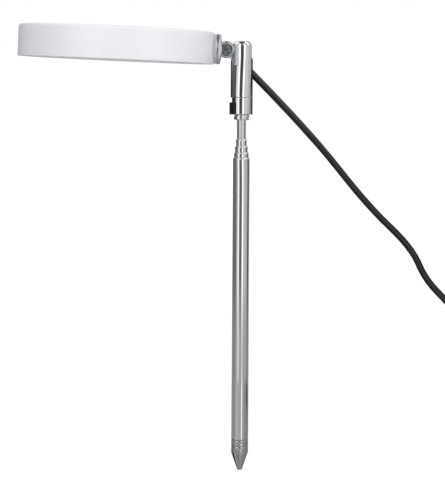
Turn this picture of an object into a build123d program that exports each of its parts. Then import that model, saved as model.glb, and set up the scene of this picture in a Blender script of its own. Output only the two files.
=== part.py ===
from build123d import *
import math
import os

# Grow lamp for pot plants: a round LED head on a chromed housing that tops a
# four-draw telescopic mast, whose lower tube is pushed into the soil.
#
# Millimetres, +Z up.  The mast stands on the Z axis and z = 0 is the soil line.
# The lamp head reaches out along -X, the lead leaves the housing towards +X.

# ---------------------------------------------------------------- driving sizes
# Stake and telescopic mast
soil_depth = 60.6        # from the soil line down to the point of the stake
cone_length = 10.8
cone_step = 0.1          # from the ground tube's surface in to the base of the cone
point_r = 1.2            # rounded end of the cone
point_fillet = 1.3
stake_spigot = 14.0      # plug of the stake tip inside the ground tube
spigot_chamfer = 0.8
tube_od = 10.0
tube_length = 172.9
tube_wall = 0.35
nest_gap = 0.25          # radial room between one tube and the next
nest_rest = 0.5          # from the stake's plug up to the drawn tubes when pushed in
section_rises = [3.1, 3.8, 3.9]    # how far each drawn tube stands out when pushed in
rod_rise = 10.9
rod_wall = 0.6
lip_height = 1.2         # rolled-in end of each tube
lip_land = 0.5
quarter_turn = 90.0
sleeve_length = 8.0      # split friction sleeve at the foot of each drawn tube
sleeve_split = 1.0
crimp_heights = [3.9, 7.5]         # above the lower end of the ground tube
crimp_width = 0.8
crimp_depth = 0.12

# Threaded stud on the rod
stud_exposed = 3.2
stud_head_gap = 0.3      # between the stud's head and the switch
stud_spigot = 8.0
stud_chamfer = 0.4

# Housing
housing_od = 11.3
housing_wall = 1.05
collar_height = 9.8
upper_height = 32.4
dome_drop = 2.2          # crowned bevel round the top: down from the top
dome_in = 2.25           # and in from the housing's side
dome_crown = 0.28        # how far it stands out of a straight bevel
dome_crease = 0.6        # fillets at its two edges
hinge_block = 10.6       # solid top of the upper housing, above its bore
rebate_height = 1.6
rebate_wall = 0.5
cover_wall = 0.65
cover_drop = 9.4         # from the top of the housing down to the rear cover
cover_edge = 0.5         # bevel on the cover's top edge: into its wall, and down it
cover_edge_drop = 1.5
seam_bevel = 0.2         # on both sides of the seam
service_width = 7.0      # opening behind the rear cover
service_height = 6.5
service_rise = 4.2       # above the seam
screw_low = 2.0          # rear-cover screws, in from the cover's lower and upper edges
screw_high = 3.3
screw_d = 1.6
screw_head_d = 2.8
screw_length = 1.6

# Slide switch in the collar
knob_top_gap = 0.4       # from the knob, pushed up, to the seam
knob_wall = 0.95
track_wall = 0.4         # plate that the knob slides on
track_angle = 80.0       # how much of the collar it wraps round
knob_angle = 100.0       # how much of the collar the knob wraps round
knob_edge = 0.4
knob_travel = 2.4
knob_stem_width = 4.0
knob_stem_height = 3.0
knob_stem_margin = 0.4   # from the stem up to the top of the knob
knob_cover_gap = 0.3     # between the knob's edges and the switch cover
window_frame = 0.5       # room between the stem and the window's ends
switch_width = 3.6
switch_depth = 3.4
switch_height = 6.0
actuator_size = 1.2
switch_front_gap = 0.88  # between the switch body and the bore
board_foot_gap = 1.0     # between the stud and the foot of the board
board_head_gap = 2.5     # between the board and the end of the bore
board_edge_gap = 0.3     # between the board's edges and the bore
board_wall = 0.8

# Hinge between the housing and the lamp head
hinge_stand = 3.35       # from the housing's surface to the hinge axis
hinge_drop = 4.9         # below the top of the housing
hinge_pin_d = 2.5
ear_r = 4.9
ear_outer = 2.8          # half the width over both ears
fork_half = 1.25         # half the slot between the ears
tongue_half = 1.05
tongue_r = 3.2
screw_cap_d = 8.6
screw_cap_height = 1.6
screw_cap_seat = 0.4
screw_cap_edge = 0.6
hex_key = 1.3            # across flats of the socket in the end of the hinge screw
hex_depth = 0.9
nut_flats = 5.0
nut_room = 0.3           # in the flange, round the nut's corners
nut_height = 2.0
washer_wall = 0.13
washer_d = 6.0
rest_tilt = 2.3          # the head's free end stands this many degrees high

# Lamp head
flange_d = 17.4
flange_face = 2.6        # from the hinge axis to the flange's face
flange_flat = 8.2        # across the flat of its face, inside the bevel
flange_bevel = 0.8       # from its face back to its rim
flange_rim_r = 5.5       # the rim is slightly barrelled
flange_middle = 2.4      # from the face back to the widest part of the rim
flange_edge = 0.5
gusset_drop = 6.1        # foot of the tongue's gusset below the hinge axis
head_reach = 7.1         # from the hinge axis to the head's wall
head_rise = 0.3          # the head's mid-plane above the hinge axis
head_d = 113.0
head_height = 18.4
head_wall = 1.8
head_ledge = 1.1         # ledge that the lens rests against
head_top_fillet = 1.6
head_foot_fillet = 0.4
lens_wall = 1.5
lens_recess = 0.4
board_margin = 3.1       # between the lens ledge and the LED board
led_board_wall = 1.6
post_height = 5.6
post_d = 6.0
post_inset = 8.5         # from the board's edge to the middle of the posts
post_count = 4
post_start = 45.0
led_edge = 4.5           # from the board's edge to the outer ring of LEDs
led_pitch = 11.5         # between rings
led_spacing = 12.0       # along a ring
led_size = (3.5, 2.8, 0.8)
red_every = 4            # one LED in this many is a red one
bracket_screw_d = 3.0
bracket_screw_gap = 0.5  # between the lower screw's head and the lens
bracket_screw_head_d = 5.0
bracket_screw_head = 1.8
bracket_screw_bite = 2.6
board_screw_d = 2.5
board_screw_head_d = 4.5
board_screw_head = 1.4
board_screw_length = 4.5

# Lead and plug
lead_d = 4.1
lead_length = 1500.0
lead_azimuth = 35.0      # where it leaves the rear cover, round from +X towards +Y
lead_rise = 14.6         # above the seam
lead_turn = 10.5         # its heading there: away from +X towards +Y
lead_drop = 44.5         # and below the horizontal
lead_first_run = 53.1
grommet_wall = 0.5
grommet_stand = 0.15
coil_centre = (223.0, 38.0)
coil_outer_r = 30.0      # middle of the outermost turn
coil_turns = 4.0         # turns side by side in each of two layers
tie_wall = 0.8
tie_width = 5.0
tie_slack = 1.0          # room between the coil's turns and the tie, along the radius
tie_gap = 0.1            # above and below the coil
plug_body = (15.8, 7.9, 22.0)
plug_relief = 9.0
plug_relief_r = 2.9
plug_relief_share = (0.72, 0.86)   # of the body's width and height, at the relief's root
plug_fillet = 1.6
plug_chamfer = 0.4
plug_shell = (12.0, 4.5, 12.0)
plug_shell_wall = 0.3
plug_shell_depth = 6.0
plug_tongue = 1.9
plug_tongue_lap = 0.5
latch_window = (2.0, 2.4)
contact_size = (1.0, 0.18, 7.0)
contact_end_gap = 1.5    # from the contacts to the mouth of the shell
contact_pitch = 2.2

# Clearances
slide_gap = 0.05         # radial, drawn tubes
seat_gap = 0.02          # radial, pressed seats
turn_gap = 0.1           # housing on its stud
fit_gap = 0.05           # covers and bought-in pieces on their seats
hinge_gap = 0.25         # ears inside the housing's cut-outs
seam_gap = 0.1

# ------------------------------------------------------------- worked-out places
tip_z = -soil_depth
cone_base_r = tube_od / 2 - cone_step
tube_bottom = tip_z + cone_length
tube_top = tube_bottom + tube_length
draw_step = 2 * (tube_wall + nest_gap)
tube_ods = [tube_od - i * draw_step for i in range(len(section_rises) + 2)]
rod_od = tube_ods[-1]
section_tops = [tube_top]
for rise in section_rises:
    section_tops.append(section_tops[-1] + rise)
rod_top = section_tops[-1] + rod_rise
nest_floor = tube_bottom + stake_spigot + nest_rest

collar_bottom = rod_top + stud_exposed
seam_z = collar_bottom + collar_height
upper_bottom = seam_z + seam_gap
housing_top = upper_bottom + upper_height
housing_r = housing_od / 2
bore_r = housing_r - housing_wall
bore_top = housing_top - hinge_block
stud_od = 2 * (bore_r - turn_gap)
cover_in = housing_r + fit_gap
cover_out = cover_in + cover_wall
cover_height = upper_height - cover_drop
screw_rises = [screw_low, cover_height - screw_high]
track_out = cover_in + track_wall
knob_in = track_out + fit_gap
knob_out = knob_in + knob_wall
knob_bottom = collar_bottom
knob_height = collar_height - knob_travel - knob_top_gap
stem_bottom = knob_bottom + knob_height - knob_stem_height - knob_stem_margin
window_bottom = stem_bottom - window_frame
window_height = knob_stem_height + knob_travel + 2 * window_frame
window_width = knob_stem_width + 2 * window_frame

actuator_z = stem_bottom + knob_stem_height / 2
switch_bottom = actuator_z + knob_travel / 2 - switch_height / 2
switch_x = switch_front_gap - math.sqrt(bore_r**2 - (switch_width / 2) ** 2)
board_x = switch_x + switch_depth + fit_gap
stud_top = switch_bottom - stud_head_gap
board_bottom = stud_top + board_foot_gap
board_height = bore_top - board_head_gap - board_bottom
board_width = 2 * (math.sqrt(bore_r**2 - (board_x + board_wall) ** 2) - board_edge_gap)

hinge_x = -housing_r - hinge_stand
hinge_z = housing_top - hinge_drop
gusset_foot = hinge_z - gusset_drop
lug_inner_x = hinge_x + ear_r + 2 * hinge_gap + tongue_half
head_x = hinge_x - head_reach - head_d / 2
head_z = hinge_z + head_rise
head_top = head_z + head_height / 2
head_foot = head_z - head_height / 2
roof_z = head_top - head_wall
board_top = roof_z - post_height
board_foot = board_top - led_board_wall
led_board_d = head_d - 2 * (head_wall + head_ledge + board_margin)
post_circle = led_board_d - 2 * post_inset
lens_top = head_foot + lens_recess + lens_wall
bracket_screw_rise = hinge_z - lens_top - bracket_screw_gap - bracket_screw_head_d / 2

# The lead: points of its free stretch, from inside the housing to the coil
turn, drop = math.radians(lead_turn), math.radians(lead_drop)
azimuth = math.radians(lead_azimuth)
lead_heading = Vector(
    math.cos(drop) * math.cos(turn), math.cos(drop) * math.sin(turn), -math.sin(drop)
)
lead_exit = Vector(
    cover_out * math.cos(azimuth), cover_out * math.sin(azimuth), upper_bottom + lead_rise
)
lead_bury = (cover_out - bore_r) / (math.cos(drop) * math.cos(azimuth - turn))
lead_entry = lead_exit - lead_heading * lead_bury
lead_route = [
    tuple(lead_entry),
    tuple(lead_entry + lead_heading * lead_first_run),
    (74.3, 12.5, 94.8),
    (100.7, 12.0, 70.2),
    (108.5, 11.0, 52.0),
    (122.0, 10.0, 38.0),
    (139.0, 9.4, 20.0),
    (151.5, 8.8, -2.0),
    (162.0, 8.3, -24.0),
    (175.0, 8.0, -43.0),
    (192.0, 8.0, -54.1),
    (211.6, 8.0, -57.65),
]
tail_route = [
    (211.6, 68.0, -53.55),
    (200.0, 69.0, -56.6),
    (189.0, 69.0, -56.6),
]
lead_r = lead_d / 2
coil_foot = tip_z + tie_wall + tie_gap
coil_in = coil_outer_r - coil_turns * lead_d - lead_r
coil_out = coil_outer_r + lead_r
coil_height = 2 * lead_d

pieces = {}


def keep(part, name):
    """Label a finished piece and hold it for export."""
    part.label = name
    pieces[name] = part


# ------------------------------------------------------------------ mast pieces
def rolled_tube(index, bottom, top, crimped=False):
    """A drawn tube whose upper end is rolled in to guide the next tube."""
    r = tube_ods[index] / 2
    bore = r - tube_wall
    lip_r = tube_ods[index + 1] / 2 + slide_gap
    with BuildPart() as tube:
        with BuildSketch(Plane.XZ):
            with BuildLine():
                Line((bore, bottom), (r, bottom))
                Line((r, bottom), (r, top - lip_height))
                EllipticalCenterArc(
                    (lip_r, top - lip_height), r - lip_r, lip_height, start_angle=0, arc_size=quarter_turn
                )
                Line((lip_r, top), (lip_r, top - lip_land))
                Line((lip_r, top - lip_land), (bore, top - lip_height - nest_gap))
                Line((bore, top - lip_height - nest_gap), (bore, bottom))
            make_face()
        revolve(axis=Axis.Z)
        if crimped:
            for height in crimp_heights:
                with BuildSketch(Plane.XZ):
                    with Locations((r, bottom + height)):
                        Ellipse(crimp_depth, crimp_width / 2)
                revolve(axis=Axis.Z, mode=Mode.SUBTRACT)
    return tube.part


def friction_sleeve(index):
    """A split brass sleeve pressed on the foot of drawn tube number index."""
    inner = tube_ods[index] / 2 + seat_gap
    outer = tube_ods[index - 1] / 2 - tube_wall - slide_gap
    with BuildPart() as sleeve:
        with BuildSketch(Plane.XY.offset(nest_floor)):
            Circle(outer)
            Circle(inner, mode=Mode.SUBTRACT)
        extrude(amount=sleeve_length)
        with BuildSketch(Plane.XY.offset(nest_floor)):
            with Locations((outer, 0)):
                Rectangle(tube_od, sleeve_split)
        extrude(amount=sleeve_length, mode=Mode.SUBTRACT)
    return sleeve.part


keep(rolled_tube(0, tube_bottom, tube_top, crimped=True), "outer_tube")
for i in range(1, len(section_rises) + 1):
    keep(rolled_tube(i, nest_floor, section_tops[i]), f"mast_section_{i}")
    keep(friction_sleeve(i), f"section_{i}_sleeve")
keep(friction_sleeve(len(tube_ods) - 1), "rod_sleeve")

with BuildPart() as mast_rod:
    with BuildSketch(Plane.XY.offset(nest_floor)):
        Circle(rod_od / 2)
        Circle(rod_od / 2 - rod_wall, mode=Mode.SUBTRACT)
    extrude(amount=rod_top - nest_floor)
keep(mast_rod.part, "mast_rod")

# Stake tip: a cone with a rounded point and a spigot pressed into the ground tube
with BuildPart() as stake_tip:
    spigot_r = tube_od / 2 - tube_wall - crimp_depth - seat_gap
    with BuildSketch(Plane.XZ):
        with BuildLine():
            Polyline(
                (0, tip_z),
                (point_r, tip_z),
                (cone_base_r, tube_bottom - seat_gap),
                (spigot_r, tube_bottom - seat_gap),
                (spigot_r, tube_bottom + stake_spigot),
                (0, tube_bottom + stake_spigot),
                close=True,
            )
        make_face()
    revolve(axis=Axis.Z)
    fillet(stake_tip.edges().group_by(Axis.Z)[0], point_fillet)
    chamfer(stake_tip.edges().group_by(Axis.Z)[-1], spigot_chamfer)
keep(stake_tip.part, "stake_tip")

# Threaded stud: its spigot is pressed into the rod, its head screws into the collar
with BuildPart() as threaded_stud:
    with BuildSketch(Plane.XY.offset(rod_top)):
        Circle(stud_od / 2)
    extrude(amount=stud_top - rod_top)
    chamfer(threaded_stud.edges().filter_by(GeomType.CIRCLE), stud_chamfer)
    with BuildSketch(Plane.XY.offset(rod_top)):
        Circle(rod_od / 2 - rod_wall - seat_gap)
    extrude(amount=-stud_spigot)
keep(threaded_stud.part, "threaded_stud")

# --------------------------------------------------------------- housing pieces
def block(plane, width, height, length):
    """A rectangular bar along the plane's normal, used as a cutter."""
    with BuildPart() as bar:
        with BuildSketch(plane):
            Rectangle(width, height)
        extrude(amount=length)
    return bar.part


def round_bar(plane, radius, length):
    """A round bar along the plane's normal, used as a cutter."""
    with BuildPart() as bar:
        with BuildSketch(plane):
            Circle(radius)
        extrude(amount=length)
    return bar.part


def left_plane(height):
    """The plane square to -X on the mast axis, at this height."""
    return Plane(origin=(0, 0, height), x_dir=(0, 1, 0), z_dir=(-1, 0, 0))


def rear_plane(height):
    """The plane square to +Y on the mast axis, at this height."""
    return Plane(origin=(0, 0, height), x_dir=(1, 0, 0), z_dir=(0, 1, 0))


switch_window = block(
    left_plane(window_bottom + window_height / 2), window_width, window_height, housing_od
)
with BuildPart() as lower_housing:
    with BuildSketch(Plane.XY.offset(collar_bottom)):
        Circle(housing_r)
    extrude(amount=collar_height)
    chamfer(lower_housing.edges().group_by(Axis.Z)[0], stud_chamfer)
    chamfer(lower_housing.edges().group_by(Axis.Z)[-1], seam_bevel)
    with BuildSketch(Plane.XY.offset(collar_bottom)):
        Circle(bore_r)
    extrude(amount=collar_height, mode=Mode.SUBTRACT)
    with BuildSketch(Plane.XY.offset(seam_z)):
        Circle(bore_r + rebate_wall + fit_gap)
    extrude(amount=-rebate_height - seam_gap, mode=Mode.SUBTRACT)
    add(switch_window, mode=Mode.SUBTRACT)
keep(lower_housing.part, "lower_housing")


def half_shell(inner, outer, bottom, height, start, sweep):
    """A shell that wraps part of the housing, from angle start over angle sweep."""
    with BuildPart() as shell:
        with BuildSketch(Plane.XZ):
            with Locations(((inner + outer) / 2, bottom + height / 2)):
                Rectangle(outer - inner, height)
        revolve(axis=Axis.Z, revolution_arc=sweep)
    return shell.part.rotate(Axis.Z, start)


def lead_plane(route, distance):
    """A plane square to the route's first run, at this distance along it."""
    first, second = Vector(*route[0]), Vector(*route[1])
    along = (second - first).normalized()
    return Plane(origin=first + along * distance, z_dir=along)


lead_start = lead_plane(lead_route, 0)
screw_holes = [
    round_bar(rear_plane(upper_bottom + rise), screw_d / 2 + fit_gap, housing_od)
    for rise in screw_rises
]
service_opening = block(
    rear_plane(upper_bottom + service_rise + service_height / 2),
    service_width,
    service_height,
    housing_od,
)
housing_lead_hole = round_bar(lead_start, lead_r + grommet_wall + 2 * fit_gap, housing_od)

with BuildPart() as upper_housing:
    dome_foot = (housing_r, housing_top - dome_drop)
    dome_rim = (housing_r - dome_in, housing_top)
    with BuildSketch(Plane.XZ):
        with BuildLine():
            Polyline(dome_rim, (0, housing_top), (0, upper_bottom), (housing_r, upper_bottom), dome_foot)
            SagittaArc(dome_foot, dome_rim, -dome_crown)
        make_face()
    revolve(axis=Axis.Z)
    fillet(upper_housing.edges().group_by(Axis.Z)[-1], dome_crease)
    creases = upper_housing.edges().filter_by(GeomType.CIRCLE)
    fillet(creases.sort_by(lambda edge: abs(edge.center().Z - dome_foot[1]))[0], dome_crease)
    chamfer(upper_housing.edges().group_by(Axis.Z)[0], seam_bevel)
    # rebate that centres it in the collar, notched over the switch window
    with BuildSketch(Plane.XY.offset(upper_bottom)):
        Circle(bore_r + rebate_wall)
    extrude(amount=-rebate_height)
    with BuildSketch(Plane.XY.offset(upper_bottom - rebate_height)):
        Circle(bore_r)
    extrude(amount=bore_top - upper_bottom + rebate_height, mode=Mode.SUBTRACT)
    with BuildSketch(Plane.XY.offset(upper_bottom)):
        with Locations((-housing_r, 0)):
            Rectangle(housing_r, window_width)
    extrude(amount=-rebate_height, mode=Mode.SUBTRACT)
    # opening behind the rear cover, the lead's hole and the screw holes
    add([service_opening, housing_lead_hole, *screw_holes], mode=Mode.SUBTRACT)
    # round cut-outs for the ears, then the tongue that stands between them
    with BuildSketch(Plane.XZ):
        with Locations((hinge_x, hinge_z)):
            Circle(ear_r + hinge_gap)
    extrude(amount=ear_outer + hinge_gap, both=True, mode=Mode.SUBTRACT)
    with BuildSketch(Plane.XZ):
        with Locations((hinge_x, hinge_z)):
            Circle(tongue_r)
        with BuildLine():
            Polyline(
                (hinge_x, hinge_z + tongue_r),
                (lug_inner_x, hinge_z + tongue_r),
                (lug_inner_x, gusset_foot),
                (-housing_r, gusset_foot),
                (hinge_x, hinge_z - tongue_r),
                close=True,
            )
        make_face()
    extrude(amount=tongue_half, both=True)
    with BuildSketch(Plane.XZ):
        with Locations((hinge_x, hinge_z)):
            Circle(hinge_pin_d / 2 + fit_gap)
    extrude(amount=tongue_half, both=True, mode=Mode.SUBTRACT)
keep(upper_housing.part, "upper_housing")

cover_lead_hole = round_bar(lead_start, lead_r + grommet_wall + fit_gap, housing_od)
cover_shell = half_shell(cover_in, cover_out, upper_bottom, cover_height, 0, 180)
gusset_notch = block(
    left_plane(gusset_foot - hinge_gap + housing_od / 2),
    2 * (tongue_half + hinge_gap),
    housing_od,
    housing_od,
)
with BuildPart() as rear_cover:
    add(cover_shell)
    top_rim = rear_cover.edges().filter_by(GeomType.CIRCLE).group_by(Axis.Z)[-1]
    chamfer(top_rim.sort_by(SortBy.RADIUS)[-1], cover_edge_drop, cover_edge)
    # the lead's hole, the screw holes and the notch that the gusset passes
    add([cover_lead_hole, *screw_holes, gusset_notch], mode=Mode.SUBTRACT)
    for rise in screw_rises:
        with BuildSketch(rear_plane(upper_bottom + rise).offset(cover_out - cover_wall / 2)):
            Circle(screw_head_d / 2 + fit_gap)
        extrude(amount=cover_wall, mode=Mode.SUBTRACT)
keep(rear_cover.part, "rear_cover")

switch_cover_sweep = 180 - knob_angle / 2 - math.degrees(knob_cover_gap / cover_out)
keep(
    half_shell(cover_in, cover_out, collar_bottom, collar_height, 0, switch_cover_sweep),
    "switch_cover",
)

with BuildPart() as cover_screws:
    for rise in screw_rises:
        seat = rear_plane(upper_bottom + rise).offset(cover_out - cover_wall / 2 + fit_gap)
        with BuildSketch(seat):
            Circle(screw_head_d / 2)
        extrude(amount=cover_wall / 2)
        with BuildSketch(seat):
            Circle(screw_d / 2)
        extrude(amount=-screw_length)
keep(cover_screws.part, "cover_screws")

# Rubber grommet, trimmed a little proud of the rear cover
with BuildPart() as cord_grommet:
    with BuildSketch(lead_start):
        Circle(lead_r + grommet_wall)
        Circle(lead_r + fit_gap, mode=Mode.SUBTRACT)
    extrude(amount=housing_od)
    with BuildSketch(Plane.XY.offset(upper_bottom)):
        Circle(cover_out + grommet_stand)
    extrude(amount=upper_height, mode=Mode.INTERSECT)
keep(cord_grommet.part, "cord_grommet")

# ---------------------------------------------------------------- slide switch
with BuildPart() as circuit_board:
    with BuildSketch(Plane.XY.offset(board_bottom)):
        with Locations((board_x + board_wall / 2, 0)):
            Rectangle(board_wall, board_width)
    extrude(amount=board_height)
keep(circuit_board.part, "circuit_board")

with BuildPart() as switch_body:
    with BuildSketch(Plane.XY.offset(switch_bottom)):
        with Locations((switch_x + switch_depth / 2, 0)):
            Rectangle(switch_depth, switch_width)
    extrude(amount=switch_height)
    slot_height = actuator_size + knob_travel + 2 * fit_gap
    with BuildSketch(Plane.YZ.offset(switch_x)):
        with Locations((0, actuator_z + knob_travel / 2)):
            Rectangle(actuator_size + 2 * fit_gap, slot_height)
    extrude(amount=switch_depth / 2, mode=Mode.SUBTRACT)
keep(switch_body.part, "switch_body")

with BuildPart() as switch_actuator:
    with BuildSketch(Plane.YZ.offset(-bore_r)):
        with Locations((0, actuator_z)):
            Rectangle(actuator_size, actuator_size)
    extrude(amount=switch_x + bore_r + switch_depth / 2 - fit_gap)
keep(switch_actuator.part, "switch_actuator")

with BuildPart() as switch_track:
    add(
        half_shell(
            cover_in, track_out, collar_bottom, collar_height, 180 - track_angle / 2, track_angle
        )
    )
    add(switch_window, mode=Mode.SUBTRACT)
keep(switch_track.part, "switch_track")

knob_saddle = half_shell(
    knob_in, knob_out, knob_bottom, knob_height, 180 - knob_angle / 2, knob_angle
)
with BuildPart() as switch_knob:
    add(knob_saddle)
    fillet(switch_knob.faces().sort_by(Axis.X)[0].outer_wire().edges(), knob_edge)
    with BuildSketch(Plane.YZ.offset(-knob_in - knob_wall / 2)):
        with Locations((0, actuator_z)):
            Rectangle(knob_stem_width, knob_stem_height)
    extrude(amount=knob_wall / 2 + knob_in - bore_r + 2 * fit_gap)
    with BuildSketch(Plane.YZ.offset(-bore_r - fit_gap)):
        with Locations((0, actuator_z)):
            Rectangle(actuator_size + 2 * fit_gap, actuator_size + 2 * fit_gap)
    extrude(amount=housing_r, mode=Mode.SUBTRACT)
keep(switch_knob.part, "switch_knob")

# ------------------------------------------------- head pieces, drawn level
def keep_head(part, name):
    """Hold a piece of the lamp head, turned to its tilt at rest."""
    hinge_axis = Axis((hinge_x, 0, hinge_z), (0, 1, 0))
    keep(part.rotate(hinge_axis, rest_tilt), name)


flange_x = hinge_x - flange_face      # middle of the flange's face
wall_x = hinge_x - head_reach         # the head's wall at its nearest point


def rim_point(back):
    """A point of the flange's barrelled rim, this far behind its face."""
    bulge = math.sqrt(flange_rim_r**2 - (back - flange_middle) ** 2) - flange_rim_r
    return (flange_x - back, hinge_z + flange_d / 2 + bulge)


rim_front = rim_point(flange_bevel)
rim_back = rim_point(flange_x - wall_x + flange_edge)
with BuildPart() as head_bracket:
    with BuildSketch(Plane.XZ):
        with BuildLine():
            Polyline(
                rim_back,
                (rim_back[0], hinge_z),
                (flange_x, hinge_z),
                (flange_x, hinge_z + flange_flat / 2),
                rim_front,
            )
            ThreePointArc(rim_front, rim_point(flange_middle), rim_back)
        make_face()
    revolve(axis=Axis((flange_x, 0, hinge_z), (1, 0, 0)))
    rims = head_bracket.edges().filter_by(GeomType.CIRCLE).filter_by(
        lambda edge: math.isclose(edge.radius, rim_front[1] - hinge_z)
    )
    fillet(rims.sort_by(Axis.X)[-1], flange_edge)
    # two round ears, then the slot of the fork
    with BuildSketch(Plane.XZ):
        with Locations((hinge_x, hinge_z)):
            Circle(ear_r)
    extrude(amount=ear_outer, both=True)
    with BuildSketch(Plane.XZ):
        with Locations((hinge_x, hinge_z)):
            Rectangle(2 * (tongue_r + hinge_gap), 2 * flange_d)
    extrude(amount=fork_half, both=True, mode=Mode.SUBTRACT)
    with BuildSketch(Plane.XZ):
        with Locations((hinge_x + head_reach, hinge_z)):
            Rectangle(2 * head_reach, 2 * flange_d)
    extrude(amount=fork_half, both=True, mode=Mode.SUBTRACT)
    # hinge screw, the seat of its cap and the room for its nut
    with BuildSketch(Plane.XZ):
        with Locations((hinge_x, hinge_z)):
            Circle(hinge_pin_d / 2 + fit_gap)
    extrude(amount=ear_outer, both=True, mode=Mode.SUBTRACT)
    with BuildSketch(Plane.XZ.offset(ear_outer - screw_cap_seat)):
        with Locations((hinge_x, hinge_z)):
            Circle(screw_cap_d / 2 + fit_gap)
    extrude(amount=ear_outer, mode=Mode.SUBTRACT)
    with BuildSketch(Plane.XZ.offset(-ear_outer)):
        with Locations((hinge_x, hinge_z)):
            Circle(nut_flats / math.sqrt(3) + nut_room)
    extrude(amount=-nut_height - nut_room, mode=Mode.SUBTRACT)
    # the back follows the round wall of the head
    with BuildSketch(Plane.XY.offset(hinge_z - flange_d)):
        with Locations((head_x, 0)):
            Circle(head_d / 2 + fit_gap)
    extrude(amount=2 * flange_d, mode=Mode.SUBTRACT)
    # blind holes of the two screws that hold the head
    with BuildSketch(Plane.YZ.offset(wall_x)):
        with GridLocations(0, 2 * bracket_screw_rise, 1, 2):
            with Locations((0, hinge_z)):
                Circle(bracket_screw_d / 2 + fit_gap)
    extrude(amount=bracket_screw_bite + fit_gap, both=True, mode=Mode.SUBTRACT)
keep_head(head_bracket.part, "head_bracket")

with BuildPart() as hinge_screw:
    cap_face = ear_outer - screw_cap_seat + fit_gap
    pin_end = ear_outer + nut_height + fit_gap
    with BuildSketch(Plane.XZ.offset(cap_face)):
        with Locations((hinge_x, hinge_z)):
            Circle(screw_cap_d / 2)
    extrude(amount=screw_cap_height)
    fillet(hinge_screw.edges().filter_by(GeomType.CIRCLE).sort_by(Axis.Y)[0], screw_cap_edge)
    with BuildSketch(Plane.XZ.offset(cap_face)):
        with Locations((hinge_x, hinge_z)):
            Circle(hinge_pin_d / 2)
    extrude(amount=-(cap_face + pin_end))
    with BuildSketch(Plane.XZ.offset(-pin_end)):
        with Locations((hinge_x, hinge_z)):
            RegularPolygon(hex_key / 2, 6, major_radius=False)
    extrude(amount=hex_depth, mode=Mode.SUBTRACT)
keep_head(hinge_screw.part, "hinge_screw")

with BuildPart() as hinge_nut:
    with BuildSketch(Plane.XZ.offset(-ear_outer - fit_gap)):
        with Locations((hinge_x, hinge_z)):
            RegularPolygon(nut_flats / 2, 6, major_radius=False, rotation=30)
            Circle(hinge_pin_d / 2 + fit_gap, mode=Mode.SUBTRACT)
    extrude(amount=-nut_height)
keep_head(hinge_nut.part, "hinge_nut")

with BuildPart() as hinge_washers:
    for side in (-1, 1):
        with BuildSketch(Plane.XZ.offset(side * (tongue_half + fork_half) / 2)):
            with Locations((hinge_x, hinge_z)):
                Circle(washer_d / 2)
                Circle(hinge_pin_d / 2 + fit_gap, mode=Mode.SUBTRACT)
        extrude(amount=washer_wall / 2, both=True)
keep_head(hinge_washers.part, "hinge_washers")

# Head shell: a cup with a filleted crown, a ledge for the lens and four posts
with BuildPart() as head_shell:
    with BuildSketch(Plane.XY.offset(head_foot)):
        with Locations((head_x, 0)):
            Circle(head_d / 2)
    extrude(amount=head_height)
    fillet(head_shell.edges().group_by(Axis.Z)[-1], head_top_fillet)
    fillet(head_shell.edges().group_by(Axis.Z)[0], head_foot_fillet)
    with BuildSketch(Plane.XY.offset(head_foot)):
        with Locations((head_x, 0)):
            Circle(head_d / 2 - head_wall - head_ledge)
    extrude(amount=head_height - head_wall, mode=Mode.SUBTRACT)
    with BuildSketch(Plane.XY.offset(head_foot)):
        with Locations((head_x, 0)):
            Circle(head_d / 2 - head_wall)
    extrude(amount=lens_recess + lens_wall, mode=Mode.SUBTRACT)
    with BuildSketch(Plane.XY.offset(roof_z)):
        with Locations((head_x, 0)):
            with PolarLocations(post_circle / 2, post_count, start_angle=post_start):
                Circle(post_d / 2)
    extrude(amount=-post_height)
    with BuildSketch(Plane.XY.offset(board_top)):
        with Locations((head_x, 0)):
            with PolarLocations(post_circle / 2, post_count, start_angle=post_start):
                Circle(board_screw_d / 2 + fit_gap)
    extrude(amount=board_screw_length - led_board_wall, mode=Mode.SUBTRACT)
    with BuildSketch(Plane.YZ.offset(wall_x)):
        with GridLocations(0, 2 * bracket_screw_rise, 1, 2):
            with Locations((0, hinge_z)):
                Circle(bracket_screw_d / 2 + fit_gap)
    extrude(amount=-2 * (head_wall + head_ledge), mode=Mode.SUBTRACT)
keep_head(head_shell.part, "head_shell")

with BuildPart() as lens_cover:
    with BuildSketch(Plane.XY.offset(head_foot + lens_recess)):
        with Locations((head_x, 0)):
            Circle(head_d / 2 - head_wall - fit_gap)
    extrude(amount=lens_wall - fit_gap)
keep_head(lens_cover.part, "lens_cover")

with BuildPart() as led_board:
    with BuildSketch(Plane.XY.offset(board_top - fit_gap)):
        with Locations((head_x, 0)):
            Circle(led_board_d / 2)
            with PolarLocations(post_circle / 2, post_count, start_angle=post_start):
                Circle(board_screw_d / 2 + fit_gap, mode=Mode.SUBTRACT)
    extrude(amount=-led_board_wall)
keep_head(led_board.part, "led_board")


def led_spots():
    """Places of the LEDs on the board, ring by ring, each turned to face outwards."""
    spots = []
    radius = led_board_d / 2 - led_edge
    while radius > led_pitch / 2:
        count = round(2 * math.pi * radius / led_spacing)
        for step in range(count):
            angle = 2 * math.pi * (step + 0.5) / count
            place = (radius * math.cos(angle), radius * math.sin(angle))
            spots.append(Location(place, math.degrees(angle)))
        radius -= led_pitch
    return spots + [Location((0, 0))]


def led_group(spots):
    """One solid for each LED of a colour."""
    with BuildPart() as group:
        with BuildSketch(Plane((head_x, 0, board_foot - 2 * fit_gap))):
            with Locations(*spots):
                Rectangle(led_size[0], led_size[1])
        extrude(amount=-led_size[2])
    return group.part


all_leds = led_spots()
red_ones = [spot for number, spot in enumerate(all_leds, 1) if number % red_every == 0]
keep_head(led_group([spot for spot in all_leds if spot not in red_ones]), "white_leds")
keep_head(led_group(red_ones), "red_leds")

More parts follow.
